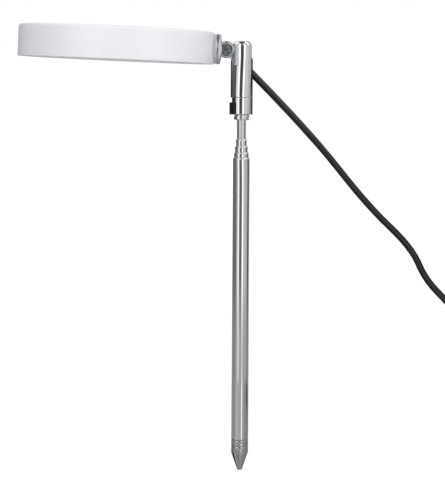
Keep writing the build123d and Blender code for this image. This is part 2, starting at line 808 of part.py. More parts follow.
with BuildPart() as board_screws:
    with BuildSketch(Plane((head_x, 0, board_foot - 2 * fit_gap))):
        with PolarLocations(post_circle / 2, post_count, start_angle=post_start):
            Circle(board_screw_head_d / 2)
    extrude(amount=-board_screw_head)
    with BuildSketch(Plane((head_x, 0, board_foot - 2 * fit_gap))):
        with PolarLocations(post_circle / 2, post_count, start_angle=post_start):
            Circle(board_screw_d / 2)
    extrude(amount=board_screw_length - fit_gap)
keep_head(board_screws.part, "board_screws")

with BuildPart() as bracket_screws:
    inner_face = wall_x - head_wall - head_ledge
    for rise in (-bracket_screw_rise, bracket_screw_rise):
        with BuildSketch(Plane.YZ.offset(inner_face - 2 * fit_gap)):
            with Locations((0, hinge_z + rise)):
                Circle(bracket_screw_head_d / 2)
        extrude(amount=-bracket_screw_head)
        with BuildSketch(Plane.YZ.offset(inner_face - 2 * fit_gap)):
            with Locations((0, hinge_z + rise)):
                Circle(bracket_screw_d / 2)
        extrude(amount=head_wall + head_ledge + bracket_screw_bite)
keep_head(bracket_screws.part, "bracket_screws")

# ----------------------------------------------------------------- lead and plug
def route_radii(route):
    """Arc radius at each inner point: 0.45 of the shorter run over tan(half turn)."""
    points = [Vector(*p) for p in route]
    radii = []
    for before, here, after in zip(points, points[1:], points[2:]):
        turn = math.radians((here - before).get_angle(after - here))
        shorter = min((here - before).length, (after - here).length)
        radii.append(0.45 * shorter / math.tan(turn / 2))
    return radii


def lead_tube(route):
    """A round lead along straight runs joined by tangent arcs."""
    with BuildPart() as tube:
        with BuildLine() as path:
            FilletPolyline(*route, radius=route_radii(route))
        with BuildSketch(lead_plane(route, 0)):
            Circle(lead_r)
        sweep(path=path.wire())
    return tube.part, path.wire().length


cord, cord_run = lead_tube(lead_route)
cord_tail, tail_run = lead_tube(tail_route)
keep(cord, "cord")
keep(cord_tail, "cord_tail")

with BuildPart() as cord_coil:
    with BuildSketch(Plane.XY.offset(coil_foot)):
        with Locations(coil_centre):
            Circle(coil_out)
            Circle(coil_in, mode=Mode.SUBTRACT)
    extrude(amount=coil_height)
    chamfer(cord_coil.edges().filter_by(GeomType.CIRCLE), lead_r / 2)
keep(cord_coil.part, "cord_coil")

with BuildPart() as cord_tie:
    tie_middle = coil_centre[0] + (coil_in + coil_out) / 2
    tie_span = coil_out - coil_in + 2 * tie_wall + tie_slack
    tie_bore = coil_height + 2 * tie_gap
    with BuildSketch(Plane.XZ.offset(-coil_centre[1])):
        with Locations((tie_middle, coil_foot + coil_height / 2)):
            RectangleRounded(tie_span, tie_bore + 2 * tie_wall, 2 * tie_wall)
            RectangleRounded(tie_span - 2 * tie_wall, tie_bore, tie_wall, mode=Mode.SUBTRACT)
    extrude(amount=tie_width / 2, both=True)
keep(cord_tie.part, "cord_tie")

plug_start = Vector(*tail_route[-1])


def plug_face(distance):
    """The plug's cross-section plane, this far from where the lead enters it."""
    return Plane(
        origin=plug_start - Vector(distance, 0, 0), x_dir=(0, -1, 0), z_dir=(-1, 0, 0)
    )


body_end = plug_relief + plug_body[2]
with BuildPart() as usb_plug_body:
    with BuildSketch(plug_face(0)):
        Circle(plug_relief_r)
    with BuildSketch(plug_face(plug_relief)):
        RectangleRounded(
            plug_body[0] * plug_relief_share[0], plug_body[1] * plug_relief_share[1], plug_fillet
        )
    loft()
    with BuildSketch(plug_face(plug_relief)):
        RectangleRounded(plug_body[0], plug_body[1], plug_fillet)
    extrude(amount=plug_body[2])
    chamfer(usb_plug_body.edges().group_by(Axis.X)[0], plug_chamfer)
    with BuildSketch(plug_face(body_end)):
        Rectangle(plug_shell[0] + 2 * fit_gap, plug_shell[1] + 2 * fit_gap)
    extrude(amount=-plug_shell_depth - fit_gap, mode=Mode.SUBTRACT)
keep(usb_plug_body.part, "usb_plug_body")

shell_start = body_end - plug_shell_depth
shell_length = plug_shell_depth + plug_shell[2]
inside_w = plug_shell[0] - 2 * plug_shell_wall
inside_h = plug_shell[1] - 2 * plug_shell_wall
with BuildPart() as usb_plug_shell:
    with BuildSketch(plug_face(shell_start)):
        RectangleRounded(plug_shell[0], plug_shell[1], plug_shell_wall)
        Rectangle(inside_w, inside_h, mode=Mode.SUBTRACT)
    extrude(amount=shell_length)
    # the two latch windows on each broad side
    latch = Plane(origin=plug_face(body_end + plug_shell[2] / 2).origin, z_dir=(0, 0, 1))
    with BuildSketch(latch):
        with GridLocations(0, plug_shell[0] / 2, 1, 2):
            Rectangle(*latch_window)
    extrude(amount=plug_shell[1], both=True, mode=Mode.SUBTRACT)
keep(usb_plug_shell.part, "usb_plug_shell")

with BuildPart() as usb_plug_tongue:
    tongue_side = inside_h / 2 - plug_tongue / 2 - fit_gap
    with BuildSketch(plug_face(shell_start + fit_gap)):
        with Locations((0, -tongue_side)):
            Rectangle(inside_w - 2 * fit_gap, plug_tongue)
    extrude(amount=shell_length - plug_tongue_lap)
keep(usb_plug_tongue.part, "usb_plug_tongue")

with BuildPart() as usb_contacts:
    contact_y = -tongue_side + plug_tongue / 2 + contact_size[1] / 2 + seat_gap / 2
    contact_start = shell_start + shell_length - contact_end_gap - contact_size[2]
    with BuildSketch(plug_face(contact_start)):
        with Locations((0, contact_y)):
            with GridLocations(contact_pitch, 0, 4, 1):
                Rectangle(contact_size[0], contact_size[1])
    extrude(amount=contact_size[2])
keep(usb_contacts.part, "usb_contacts")

# ------------------------------------------------------------------------ export
os.makedirs("parts", exist_ok=True)
for name, part in pieces.items():
    export_step(part, f"parts/{name}.step")

lip_underside = [top - lip_height - nest_gap for top in section_tops]
travels = [under - nest_floor - sleeve_length for under in lip_underside]
print("tube diameters", [round(d, 3) for d in tube_ods])
print("draw travels", [round(t, 2) for t in travels])
print("hinge", (hinge_x, 0, round(hinge_z, 3)), "head centre x", head_x)
print("collar bottom", collar_bottom, "seam", seam_z, "top", housing_top)
print("lead arcs", [round(r, 1) for r in route_radii(lead_route)], "length", round(cord_run, 1))
print("tail arcs", [round(r, 1) for r in route_radii(tail_route)], "length", round(tail_run, 1))
print("coil", round(coil_in, 2), round(coil_out, 2), "left for the coil",
      round(lead_length - cord_run - tail_run, 1))
for name, run in (("cord", cord_run), ("cord_tail", tail_run)):
    print(name, "volume / (section x length)", pieces[name].volume / (math.pi * lead_r**2 * run))
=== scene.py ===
"""Plant grow light on a telescopic ground stake: fine pieces, finishes and studio.

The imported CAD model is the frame. The pieces made here are the turned and drawn ones whose
reflections need a fine surface, and the lead. All sizes are millimetres in the fields of
the classes and metres in the meshes. Z is the mast's axis, 0 the soil line, and the lamp
head stands out along -X.
"""

import logging
import math
from dataclasses import dataclass, field
from enum import Enum

import bmesh
import bpy
import numpy as np
from mathutils import Matrix, Vector

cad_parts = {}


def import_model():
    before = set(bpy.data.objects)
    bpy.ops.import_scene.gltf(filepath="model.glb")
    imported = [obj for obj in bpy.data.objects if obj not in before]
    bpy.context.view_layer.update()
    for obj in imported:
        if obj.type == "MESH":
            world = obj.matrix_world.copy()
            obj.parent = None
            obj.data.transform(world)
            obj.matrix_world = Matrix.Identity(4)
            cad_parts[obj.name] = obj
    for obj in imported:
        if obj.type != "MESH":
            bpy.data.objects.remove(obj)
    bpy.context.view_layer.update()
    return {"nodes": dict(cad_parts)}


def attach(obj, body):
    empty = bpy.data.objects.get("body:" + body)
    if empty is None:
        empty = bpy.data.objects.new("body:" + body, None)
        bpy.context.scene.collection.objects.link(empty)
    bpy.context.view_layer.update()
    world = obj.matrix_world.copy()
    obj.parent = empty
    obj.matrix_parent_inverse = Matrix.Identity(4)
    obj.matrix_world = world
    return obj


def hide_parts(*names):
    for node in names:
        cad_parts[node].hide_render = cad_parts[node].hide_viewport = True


LOG = logging.getLogger("grow_light")
MM = 0.001
TAU = 2 * math.pi
# Points closer than this, in metres, are one point
SAME_POINT = 1e-6
# A CAD point closer than this to a turned surface, in mm, lies on it
ON_SURFACE = 0.02
# A face whose normal has at least this cosine with a turned surface's belongs to it
SAME_WAY = 0.85
# A point closer than this to an axis, in mm, lies on it
ON_AXIS = 1e-9
# A corner of an outline that is this close to straight, in radians, gets no fillet
STRAIGHT = 1e-3
# CAD faces that meet at more than this, in degrees, keep a crisp edge
CRISP = 32.0
# Middle of the hinge, in mm
HINGE = (-9.0, 0.0, 185.4)


# ------------------------------------------------------------------ shared functions
def linear(code: str) -> tuple[float, float, float, float]:
    """Turn an sRGB hex colour into linear light, by the standard's two-part curve.

    Args:
        code: the colour, such as "#c8ccd0".

    Returns:
        Red, green, blue and an alpha of one.
    """
    parts = np.array([int(code[i : i + 2], 16) for i in (1, 3, 5)]) / 255
    light = np.where(parts <= 0.04045, parts / 12.92, ((parts + 0.055) / 1.055) ** 2.4)
    return (*light.tolist(), 1.0)


def add_node(
    tree: bpy.types.NodeTree, kind: str, inputs: dict | None = None, **settings: object
) -> bpy.types.Node:
    """Add a node with its settings, and link or set its inputs.

    Args:
        tree: the node tree it goes into.
        kind: the node's type name.
        inputs: by socket name or number, a value or the socket that feeds it.
        **settings: the node's own properties.

    Returns:
        The new node.
    """
    node = tree.nodes.new(kind)
    for name, value in settings.items():
        setattr(node, name, value)
    for key, value in (inputs or {}).items():
        if isinstance(value, bpy.types.NodeSocket):
            tree.links.new(value, node.inputs[key])
        else:
            node.inputs[key].default_value = value
    return node


def new_object(name: str, data: bpy.types.ID) -> bpy.types.Object:
    """Make an object and put it in the scene, at the origin.

    Args:
        name: the object's name.
        data: its mesh, curve, lamp or camera.

    Returns:
        The new object.
    """
    thing = bpy.data.objects.new(name, data)
    bpy.context.scene.collection.objects.link(thing)
    return thing


def new_material(name: str) -> bpy.types.Material:
    """Make a material that nodes draw.

    Args:
        name: the material's name.

    Returns:
        The new material.
    """
    material = bpy.data.materials.new(name)
    material.use_nodes = True
    return material


def arc(centre: tuple, radii: tuple, start: float, end: float, steps: int) -> np.ndarray:
    """Points of an elliptical arc: centre + radii * (cos, sin) of evenly spaced angles.

    Args:
        centre: middle of the ellipse.
        radii: its two half-axes.
        start: first angle in degrees.
        end: last angle in degrees.
        steps: number of spans.

    Returns:
        An array of steps + 1 points.
    """
    angle = np.radians(np.linspace(start, end, steps + 1))
    return np.column_stack((np.cos(angle), np.sin(angle))) * radii + centre


def rounded(corners: list, steps: int = 5) -> np.ndarray:
    """A polygon's outline with each corner replaced by a tangent arc.

    At a corner that turns by a, the arc of radius r starts r * tan(a / 2) before it. Its
    middle is at the corner plus the two tangents' sum, scaled to r / cos(a / 2).

    Args:
        corners: (x, y, radius) of each corner in turn; a radius of 0 keeps it sharp.
        steps: spans in each arc.

    Returns:
        The outline's points, first and last corners included.
    """
    points = np.array([c[:2] for c in corners], float)
    radii = [c[2] for c in corners]
    parts = [points[:1]]
    for i in range(1, len(points) - 1):
        back = points[i - 1] - points[i]
        ahead = points[i + 1] - points[i]
        back, ahead = back / np.hypot(*back), ahead / np.hypot(*ahead)
        opening = math.acos(float(np.clip(back @ ahead, -1, 1)))
        if radii[i] <= 0 or not STRAIGHT <= opening <= math.pi - STRAIGHT:
            parts.append(points[i : i + 1])
            continue
        middle = points[i] + (back + ahead) / np.hypot(*(back + ahead)) * (
            radii[i] / math.sin(opening / 2)
        )
        first = points[i] + back * radii[i] / math.tan(opening / 2) - middle
        last = points[i] + ahead * radii[i] / math.tan(opening / 2) - middle
        share = np.linspace(0, 1, steps + 1)[:, None]
        sweep = math.pi - opening
        parts.append(
            middle
            + (first * np.sin((1 - share) * sweep) + last * np.sin(share * sweep))
            / math.sin(sweep)
        )
    parts.append(points[-1:])
    return np.vstack(parts)


def spin(outline: np.ndarray, segments: int) -> np.ndarray:
    """Turn an outline round the Z axis.

    A point (r, z) of the outline goes to (r cos t, r sin t, z) for evenly spaced angles t.

    Args:
        outline: (radius, height) points, going up where the surface faces outwards.
        segments: number of facets round the axis.

    Returns:
        A grid of points, rows along the outline and columns round the axis.
    """
    turn = np.linspace(0, TAU, segments, endpoint=False)
    radius, height = outline[:, 0, None], outline[:, 1, None]
    return np.stack((radius * np.cos(turn), radius * np.sin(turn), height + 0 * turn), axis=-1)


def mesh_piece(name: str, grids: list[np.ndarray], sharp: float = 40.0) -> bpy.types.Object:
    """Make one object from grids of points whose columns close on themselves.

    Four neighbouring points of a grid make a face, seen from the side where columns run
    to the right and rows run up. Points at the same place are merged, which closes the
    poles and the joins between grids.

    Args:
        name: the object's name.
        grids: arrays of rows by columns by three, in millimetres.
        sharp: faces that meet at more than this angle in degrees keep a crisp edge.

    Returns:
        The new object, at the origin, in metres.
    """
    faces, points, used = [], [], 0
    for grid in grids:
        rows, columns = grid.shape[:2]
        index = used + np.arange(rows * columns).reshape(rows, columns)
        right = np.roll(index, -1, axis=1)
        faces.append(
            np.stack((index[:-1], right[:-1], right[1:], index[1:]), axis=-1).reshape(-1, 4)
        )
        points.append(grid.reshape(-1, 3))
        used += rows * columns
    mesh = bpy.data.meshes.new(name)
    mesh.from_pydata((np.vstack(points) * MM).tolist(), [], np.vstack(faces).tolist())
    smooth(mesh, sharp)
    return new_object(name, mesh)


def smooth(mesh: bpy.types.Mesh, sharp: float) -> None:
    """Merge a mesh's points that are at the same place and smooth it between crisp edges.

    Args:
        mesh: the mesh.
        sharp: faces that meet at more than this angle in degrees keep a crisp edge.
    """
    work = bmesh.new()
    work.from_mesh(mesh)
    bmesh.ops.remove_doubles(work, verts=work.verts, dist=SAME_POINT)
    work.to_mesh(mesh)
    work.free()
    mesh.shade_smooth()
    mesh.set_sharp_from_angle(angle=math.radians(sharp))


def read(
    items: bpy.types.bpy_prop_collection, name: str, width: int, kind: type = float
) -> np.ndarray:
    """Read one property of every item.

    Args:
        items: a mesh's points, corners or faces.
        name: the property.
        width: how many numbers it has.
        kind: their type.

    Returns:
        An array with a row for each item.
    """
    values = np.empty(len(items) * width, dtype=kind)
    items.foreach_get(name, values)
    return values.reshape(-1, width)


def settle(
    piece: bpy.types.Object, body: str, slot: str, finish: "Finish | Frosted", *nodes: str
) -> None:
    """Dress a finished piece, tie it to its body and hide the CAD nodes that it replaces.

    Args:
        piece: the object.
        body: the CAD body that it rides on.
        slot: not used.
        finish: the finish it wears.
        *nodes: the CAD nodes that it replaces.
    """
    piece.data.materials.clear()
    piece.data.materials.append(finish.material())
    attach(piece, body)
    if nodes:
        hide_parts(*nodes)
    LOG.info("%s rides on %s", piece.name, body)


# ------------------------------------------------------------------ finishes
class Grain(Enum):
    """How a surface was worked: a small number draws its fine relief out along x, y or z."""

    EVEN = (1.0, 1.0, 1.0)
    DRAWN = (1.0, 1.0, 0.012)
    TURNED = (0.02, 0.02, 1.0)


@dataclass(frozen=True)
class Finish:
    """A solid material with fine relief, worn roughness and slight colour change.

    Attributes:
        name: what the material is and how it was made.
        colour: sRGB hex.
        shade: sRGB hex of the darker patches.
        metallic: 1 for a metal.
        roughness: lowest and highest roughness.
        ior: refractive index, for anything but a metal.
        gloss: strength of the mirror part of its light, 0.5 being a clean surface.
        grain: how the surface was worked.
        spacing: size of the fine relief in mm.
        depth: height of the fine relief in mm.
        patch: size of the patches of colour and roughness in mm.
        sweep: how far reflections are drawn out round the piece's own X direction.
        hub: a point of the line that they are drawn out round, in mm.
    """

    name: str
    colour: str
    shade: str
    metallic: float = 0.0
    roughness: tuple[float, float] = (0.4, 0.5)
    ior: float = 1.5
    gloss: float = 0.5
    grain: Grain = Grain.EVEN
    spacing: float = 0.4
    depth: float = 0.01
    patch: float = 12.0
    sweep: float = 0.0
    hub: tuple[float, float, float] = (0.0, 0.0, 0.0)

    def material(self) -> bpy.types.Material:
        """Build the material, or find it if it was built before.

        Returns:
            The material.
        """
        known = bpy.data.materials.get(self.name)
        if known:
            return known
        material = new_material(self.name)
        tree = material.node_tree
        shader = tree.nodes["Principled BSDF"]
        shader.inputs["Metallic"].default_value = self.metallic
        if not self.metallic:
            shader.inputs["IOR"].default_value = self.ior
            shader.inputs["Specular IOR Level"].default_value = self.gloss
        place = add_node(tree, "ShaderNodeTexCoord").outputs["Object"]
        if self.sweep:
            self.draw_out(tree, shader, place)
        cloud = add_node(
            tree,
            "ShaderNodeTexNoise",
            {"Vector": place, "Scale": 1 / (self.patch * MM), "Detail": 4.0, "Roughness": 0.6},
        )
        colour = add_node(
            tree,
            "ShaderNodeMix",
            {
                "Factor": cloud.outputs["Fac"],
                "A": linear(self.colour),
                "B": linear(self.shade),
            },
            data_type="RGBA",
        )
        rough = add_node(
            tree,
            "ShaderNodeMapRange",
            {
                "Value": cloud.outputs["Fac"],
                "From Min": 0.3,
                "From Max": 0.7,
                "To Min": self.roughness[0],
                "To Max": self.roughness[1],
            },
        )
        stretch = add_node(
            tree, "ShaderNodeMapping", {"Vector": place, "Scale": self.grain.value}
        )
        relief = add_node(
            tree,
            "ShaderNodeTexNoise",
            {
                "Vector": stretch.outputs[0],
                "Scale": 1 / (self.spacing * MM),
                "Detail": 3.0,
                "Roughness": 0.55,
            },
        )
        bump = add_node(
            tree,
            "ShaderNodeBump",
            {"Height": relief.outputs["Fac"], "Distance": self.depth * MM, "Strength": 1.0},
        )
        tree.links.new(colour.outputs["Result"], shader.inputs["Base Color"])
        tree.links.new(rough.outputs["Result"], shader.inputs["Roughness"])
        tree.links.new(bump.outputs["Normal"], shader.inputs["Normal"])
        return material

    def draw_out(
        self, tree: bpy.types.NodeTree, shader: bpy.types.Node, place: bpy.types.NodeSocket
    ) -> None:
        """Draw the reflections out along rings round the hub's X line.

        The ring's direction at a point is the X direction crossed with the way from the
        hub to the point, turned from the piece's own directions into the world's.

        Args:
            tree: the material's nodes.
            shader: the shader that they feed.
            place: the socket that carries the point.
        """
        hub = tuple(v * MM for v in self.hub)
        way = add_node(tree, "ShaderNodeVectorMath", {0: place, 1: hub}, operation="SUBTRACT")
        ring = add_node(
            tree,
            "ShaderNodeVectorMath",
            {0: (1.0, 0.0, 0.0), 1: way.outputs[0]},
            operation="CROSS_PRODUCT",
        )
        world = add_node(
            tree,
            "ShaderNodeVectorTransform",
            {"Vector": ring.outputs[0]},
            vector_type="VECTOR",
            convert_from="OBJECT",
            convert_to="WORLD",
        )
        shader.inputs["Anisotropic"].default_value = self.sweep
        tree.links.new(world.outputs[0], shader.inputs["Tangent"])


# Bright chromium plate on drawn steel tube: near mirror, with faint lines along the tube
CHROMED_TUBE = Finish(
    "chromed_drawn_steel", "#e4e5e7", "#dcdee0", 1.0, (0.05, 0.09), grain=Grain.DRAWN,
    spacing=0.5, depth=0.0006, patch=30.0,
)
# The same chromium plate where the tube is crimped, dented all over; its white and dark grey
# colour patches are painted glint and shade for the dents' glitter
CHROMED_CRIMP_PAINTED_GLINT = Finish(
    "chromed_crimped_steel_painted_glint", "#ffffff", "#808285", 1.0, (0.05, 0.09), spacing=0.9, depth=0.13,
    patch=1.3,
)
# Bright nickel on the thin rod: softer than chromium, with a faint warm cast
NICKELED_ROD = Finish(
    "nickel_plated_drawn_steel", "#e0e0de", "#d8d8d6", 1.0, (0.06, 0.10), grain=Grain.DRAWN,
    spacing=0.5, depth=0.0006, patch=20.0,
)
# Chromium plate on machined bar: a mirror, with a faint swell from polishing
CHROMED_BAR = Finish(
    "chromed_polished_steel", "#e2e4e6", "#dadde0", 1.0, (0.035, 0.07), spacing=2.5,
    depth=0.0012, patch=14.0,
)
# Bare turned steel: silver with fine rings and a faint warm cast
TURNED_STEEL = Finish(
    "turned_bare_steel", "#dddddc", "#cfcfce", 1.0, (0.08, 0.14), grain=Grain.TURNED,
    spacing=0.25, depth=0.0012, patch=6.0,
)
# Nickel plate on the cut thread: bright, with a faint warm cast
NICKELED_THREAD = Finish(
    "nickel_plated_cut_steel", "#e3e1de", "#d6d4d1", 1.0, (0.04, 0.08), spacing=2.5,
    depth=0.0012, patch=6.0,
)
# Chromium plate on a ground flange: a softer mirror that blurs what it shows
CHROMED_GROUND = Finish(
    "chromed_ground_steel", "#e0e2e5", "#d8dadd", 1.0, (0.26, 0.29), spacing=0.8,
    depth=0.002, patch=6.0, sweep=1.0, hub=HINGE,
)
# Chromium plate over a face left wavy by its polishing: a mirror with soft swirls
CHROMED_SWIRL = Finish(
    "chromed_hand_polished_steel", "#e2e4e6", "#dadde0", 1.0, (0.05, 0.09), spacing=1.8,
    depth=0.26, patch=8.0,
)
# Bright zinc plate on small screws: pale grey metal with a soft sheen
ZINC_PLATE = Finish(
    "zinc_plated_steel", "#c9ccd0", "#b4b8bd", 1.0, (0.2, 0.32), spacing=0.3, depth=0.002,
    patch=3.0,
)
# Rolled brass strip of the friction sleeves
BRASS_STRIP = Finish(
    "rolled_brass_strip", "#c9a45c", "#b48f4c", 1.0, (0.24, 0.36), grain=Grain.DRAWN,
    spacing=0.3, depth=0.002, patch=5.0,
)
# White ABS moulded glossy: clean white with a very faint ripple
WHITE_ABS = Finish(
    "moulded_white_abs", "#f3f4f8", "#eff0f4", 0.0, (0.28, 0.36), 1.53, spacing=3.0,
    depth=0.002, patch=40.0,
)
# Black ABS from a spark-eroded mould: satin with a fine even grain
BLACK_ABS = Finish(
    "spark_textured_black_abs", "#17181a", "#111213", 0.0, (0.38, 0.5), 1.53, 0.3,
    spacing=0.18, depth=0.008, patch=8.0,
)
# Black PVC jacket of the lead: soft grey-black with a fine extruded skin
BLACK_PVC = Finish(
    "extruded_black_pvc", "#0d0c10", "#0a090c", 0.0, (0.12, 0.16), 1.54, 0.42, spacing=0.6,
    depth=0.003, patch=15.0,
)
# White solder mask on the LED board
WHITE_MASK = Finish(
    "white_solder_mask", "#eceeea", "#e2e4e0", 0.0, (0.3, 0.4), 1.5, spacing=0.5, depth=0.004,
    patch=10.0,
)
# Green solder mask on the driver board
GREEN_MASK = Finish(
    "green_solder_mask", "#1f6a3c", "#195a32", 0.0, (0.25, 0.35), 1.5, spacing=0.4,
    depth=0.004, patch=3.0,
)
# Silicone filled with phosphor over the white LEDs: pale yellow, slightly waxy
PHOSPHOR = Finish(
    "phosphor_filled_silicone", "#e9dc8e", "#e0cf78", 0.0, (0.3, 0.4), 1.41, spacing=0.2,
    depth=0.004, patch=0.8,
)
# Clear red silicone over the red LEDs
RED_SILICONE = Finish(
    "red_silicone", "#c23a34", "#ad2f2b", 0.0, (0.2, 0.3), 1.41, spacing=0.2, depth=0.003,
    patch=0.8,
)
# Bright nickel on the plug's folded shell
NICKEL_PLATE = Finish(
    "nickel_plated_steel", "#d8d3c9", "#cbc6bb", 1.0, (0.14, 0.22), spacing=0.4, depth=0.0015,
    patch=5.0,
)
# Gold flash on the plug's contacts
GOLD_FLASH = Finish(
    "gold_flashed_contact", "#dcb45e", "#cfa54e", 1.0, (0.2, 0.28), spacing=0.3, depth=0.001,
    patch=2.0,
)


@dataclass(frozen=True)
class Frosted:
    """Opal polycarbonate of the lens: white, letting a little light through its haze.

    Attributes:
        name: what the material is and how it was made.
        colour: sRGB hex.
        ior: refractive index.
        haze: middle roughness, and how far the grain moves it either way.
        clear: share of the light that passes.
        spacing: size of the grain in mm.
        depth: height of the grain in mm.
    """

    name: str = "opal_moulded_polycarbonate"
    colour: str = "#fbfbf9"
    ior: float = 1.58
    haze: tuple[float, float] = (0.45, 0.08)
    clear: float = 0.3
    spacing: float = 0.6
    depth: float = 0.006

    def material(self) -> bpy.types.Material:
        """Build the material, or find it if it was built before.

        Returns:
            The material.
        """
        known = bpy.data.materials.get(self.name)
        if known:
            return known
        material = new_material(self.name)
        tree = material.node_tree
        shader = tree.nodes["Principled BSDF"]
        shader.inputs["Base Color"].default_value = linear(self.colour)
        shader.inputs["IOR"].default_value = self.ior
        shader.inputs["Transmission Weight"].default_value = self.clear
        place = add_node(tree, "ShaderNodeTexCoord").outputs["Object"]
        grain = add_node(
            tree,
            "ShaderNodeTexNoise",
            {"Vector": place, "Scale": 1 / (self.spacing * MM), "Detail": 2.0},
        )
        middle, swing = self.haze
        rough = add_node(
            tree,
            "ShaderNodeMapRange",
            {
                "Value": grain.outputs["Fac"],
                "To Min": middle - swing,
                "To Max": middle + swing,
            },
        )
        bump = add_node(
            tree,
            "ShaderNodeBump",
            {"Height": grain.outputs["Fac"], "Distance": self.depth * MM},
        )
        tree.links.new(rough.outputs["Result"], shader.inputs["Roughness"])
        tree.links.new(bump.outputs["Normal"], shader.inputs["Normal"])
        return material


# ------------------------------------------------------------------ camera
@dataclass
class Camera:
    """A long lens level with the housing, looking slightly down.

    Attributes:
        place: where it stands, in mm.
        pitch: degrees below the horizontal.
        roll: degrees that it leans about its own line of sight.
        focal: focal length in mm.
        sensor: width of the sensor in mm.
        fall: how far the lens is shifted down, as a share of the sensor's longer side.
    """

    place: tuple = (-10.75, -1040.0, 165.0)
    pitch: float = 4.0
    roll: float = 0.30
    focal: float = 129.15
    sensor: float = 36.0
    fall: float = 0.0792

    def build(self) -> None:
        """Make the camera and use it for the scene."""
        data = bpy.data.cameras.new("studio_camera")
        data.lens, data.sensor_width, data.shift_y = self.focal, self.sensor, -self.fall
        camera = new_object("studio_camera", data)
        turned = Matrix.Rotation(math.radians(90 - self.pitch), 4, "X") @ Matrix.Rotation(
            math.radians(self.roll), 4, "Z"
        )
        camera.matrix_world = Matrix.Translation(Vector(self.place) * MM) @ turned
        bpy.context.scene.camera = camera
        LOG.info("camera placed")


# ------------------------------------------------------------------ studio
@dataclass(frozen=True)
class Lamp:
    """A soft square lamp that reflections don't show.

    Attributes:
        name: the lamp's name.
        place: its middle in mm.
        aim: the point that it faces, in mm.
        side: length of its sides in mm.
        power: in watts.
    """

    name: str
    place: tuple
    aim: tuple
    side: float
    power: float

    def hang(self) -> None:
        """Hang the lamp so that it lights the object and is not seen itself."""
        data = bpy.data.lights.new(self.name, "AREA")
        data.shape, data.size, data.energy = "SQUARE", self.side * MM, self.power
        lamp = new_object(self.name, data)
        facing = (Vector(self.aim) - Vector(self.place)).to_track_quat("-Z", "Y").to_matrix()
        lamp.matrix_world = Matrix.Translation(Vector(self.place) * MM) @ facing.to_4x4()
        lamp.visible_glossy = False
        lamp.visible_camera = False
        lamp.visible_transmission = False


@dataclass(frozen=True)
class Card:
    """An upright reflector or flag round the object, seen only in reflections.

    Attributes:
        start: azimuth of its left edge in degrees, 0 at the camera and + to the right.
        end: azimuth of its right edge.
        tones: its brightness above the lamp, at the lamp, at the rod, along the tubes and
            at the soil.
        ground: brightness of the ground in front of it.
    """

    start: float
    end: float
    tones: tuple[float, float, float, float, float]
    ground: float


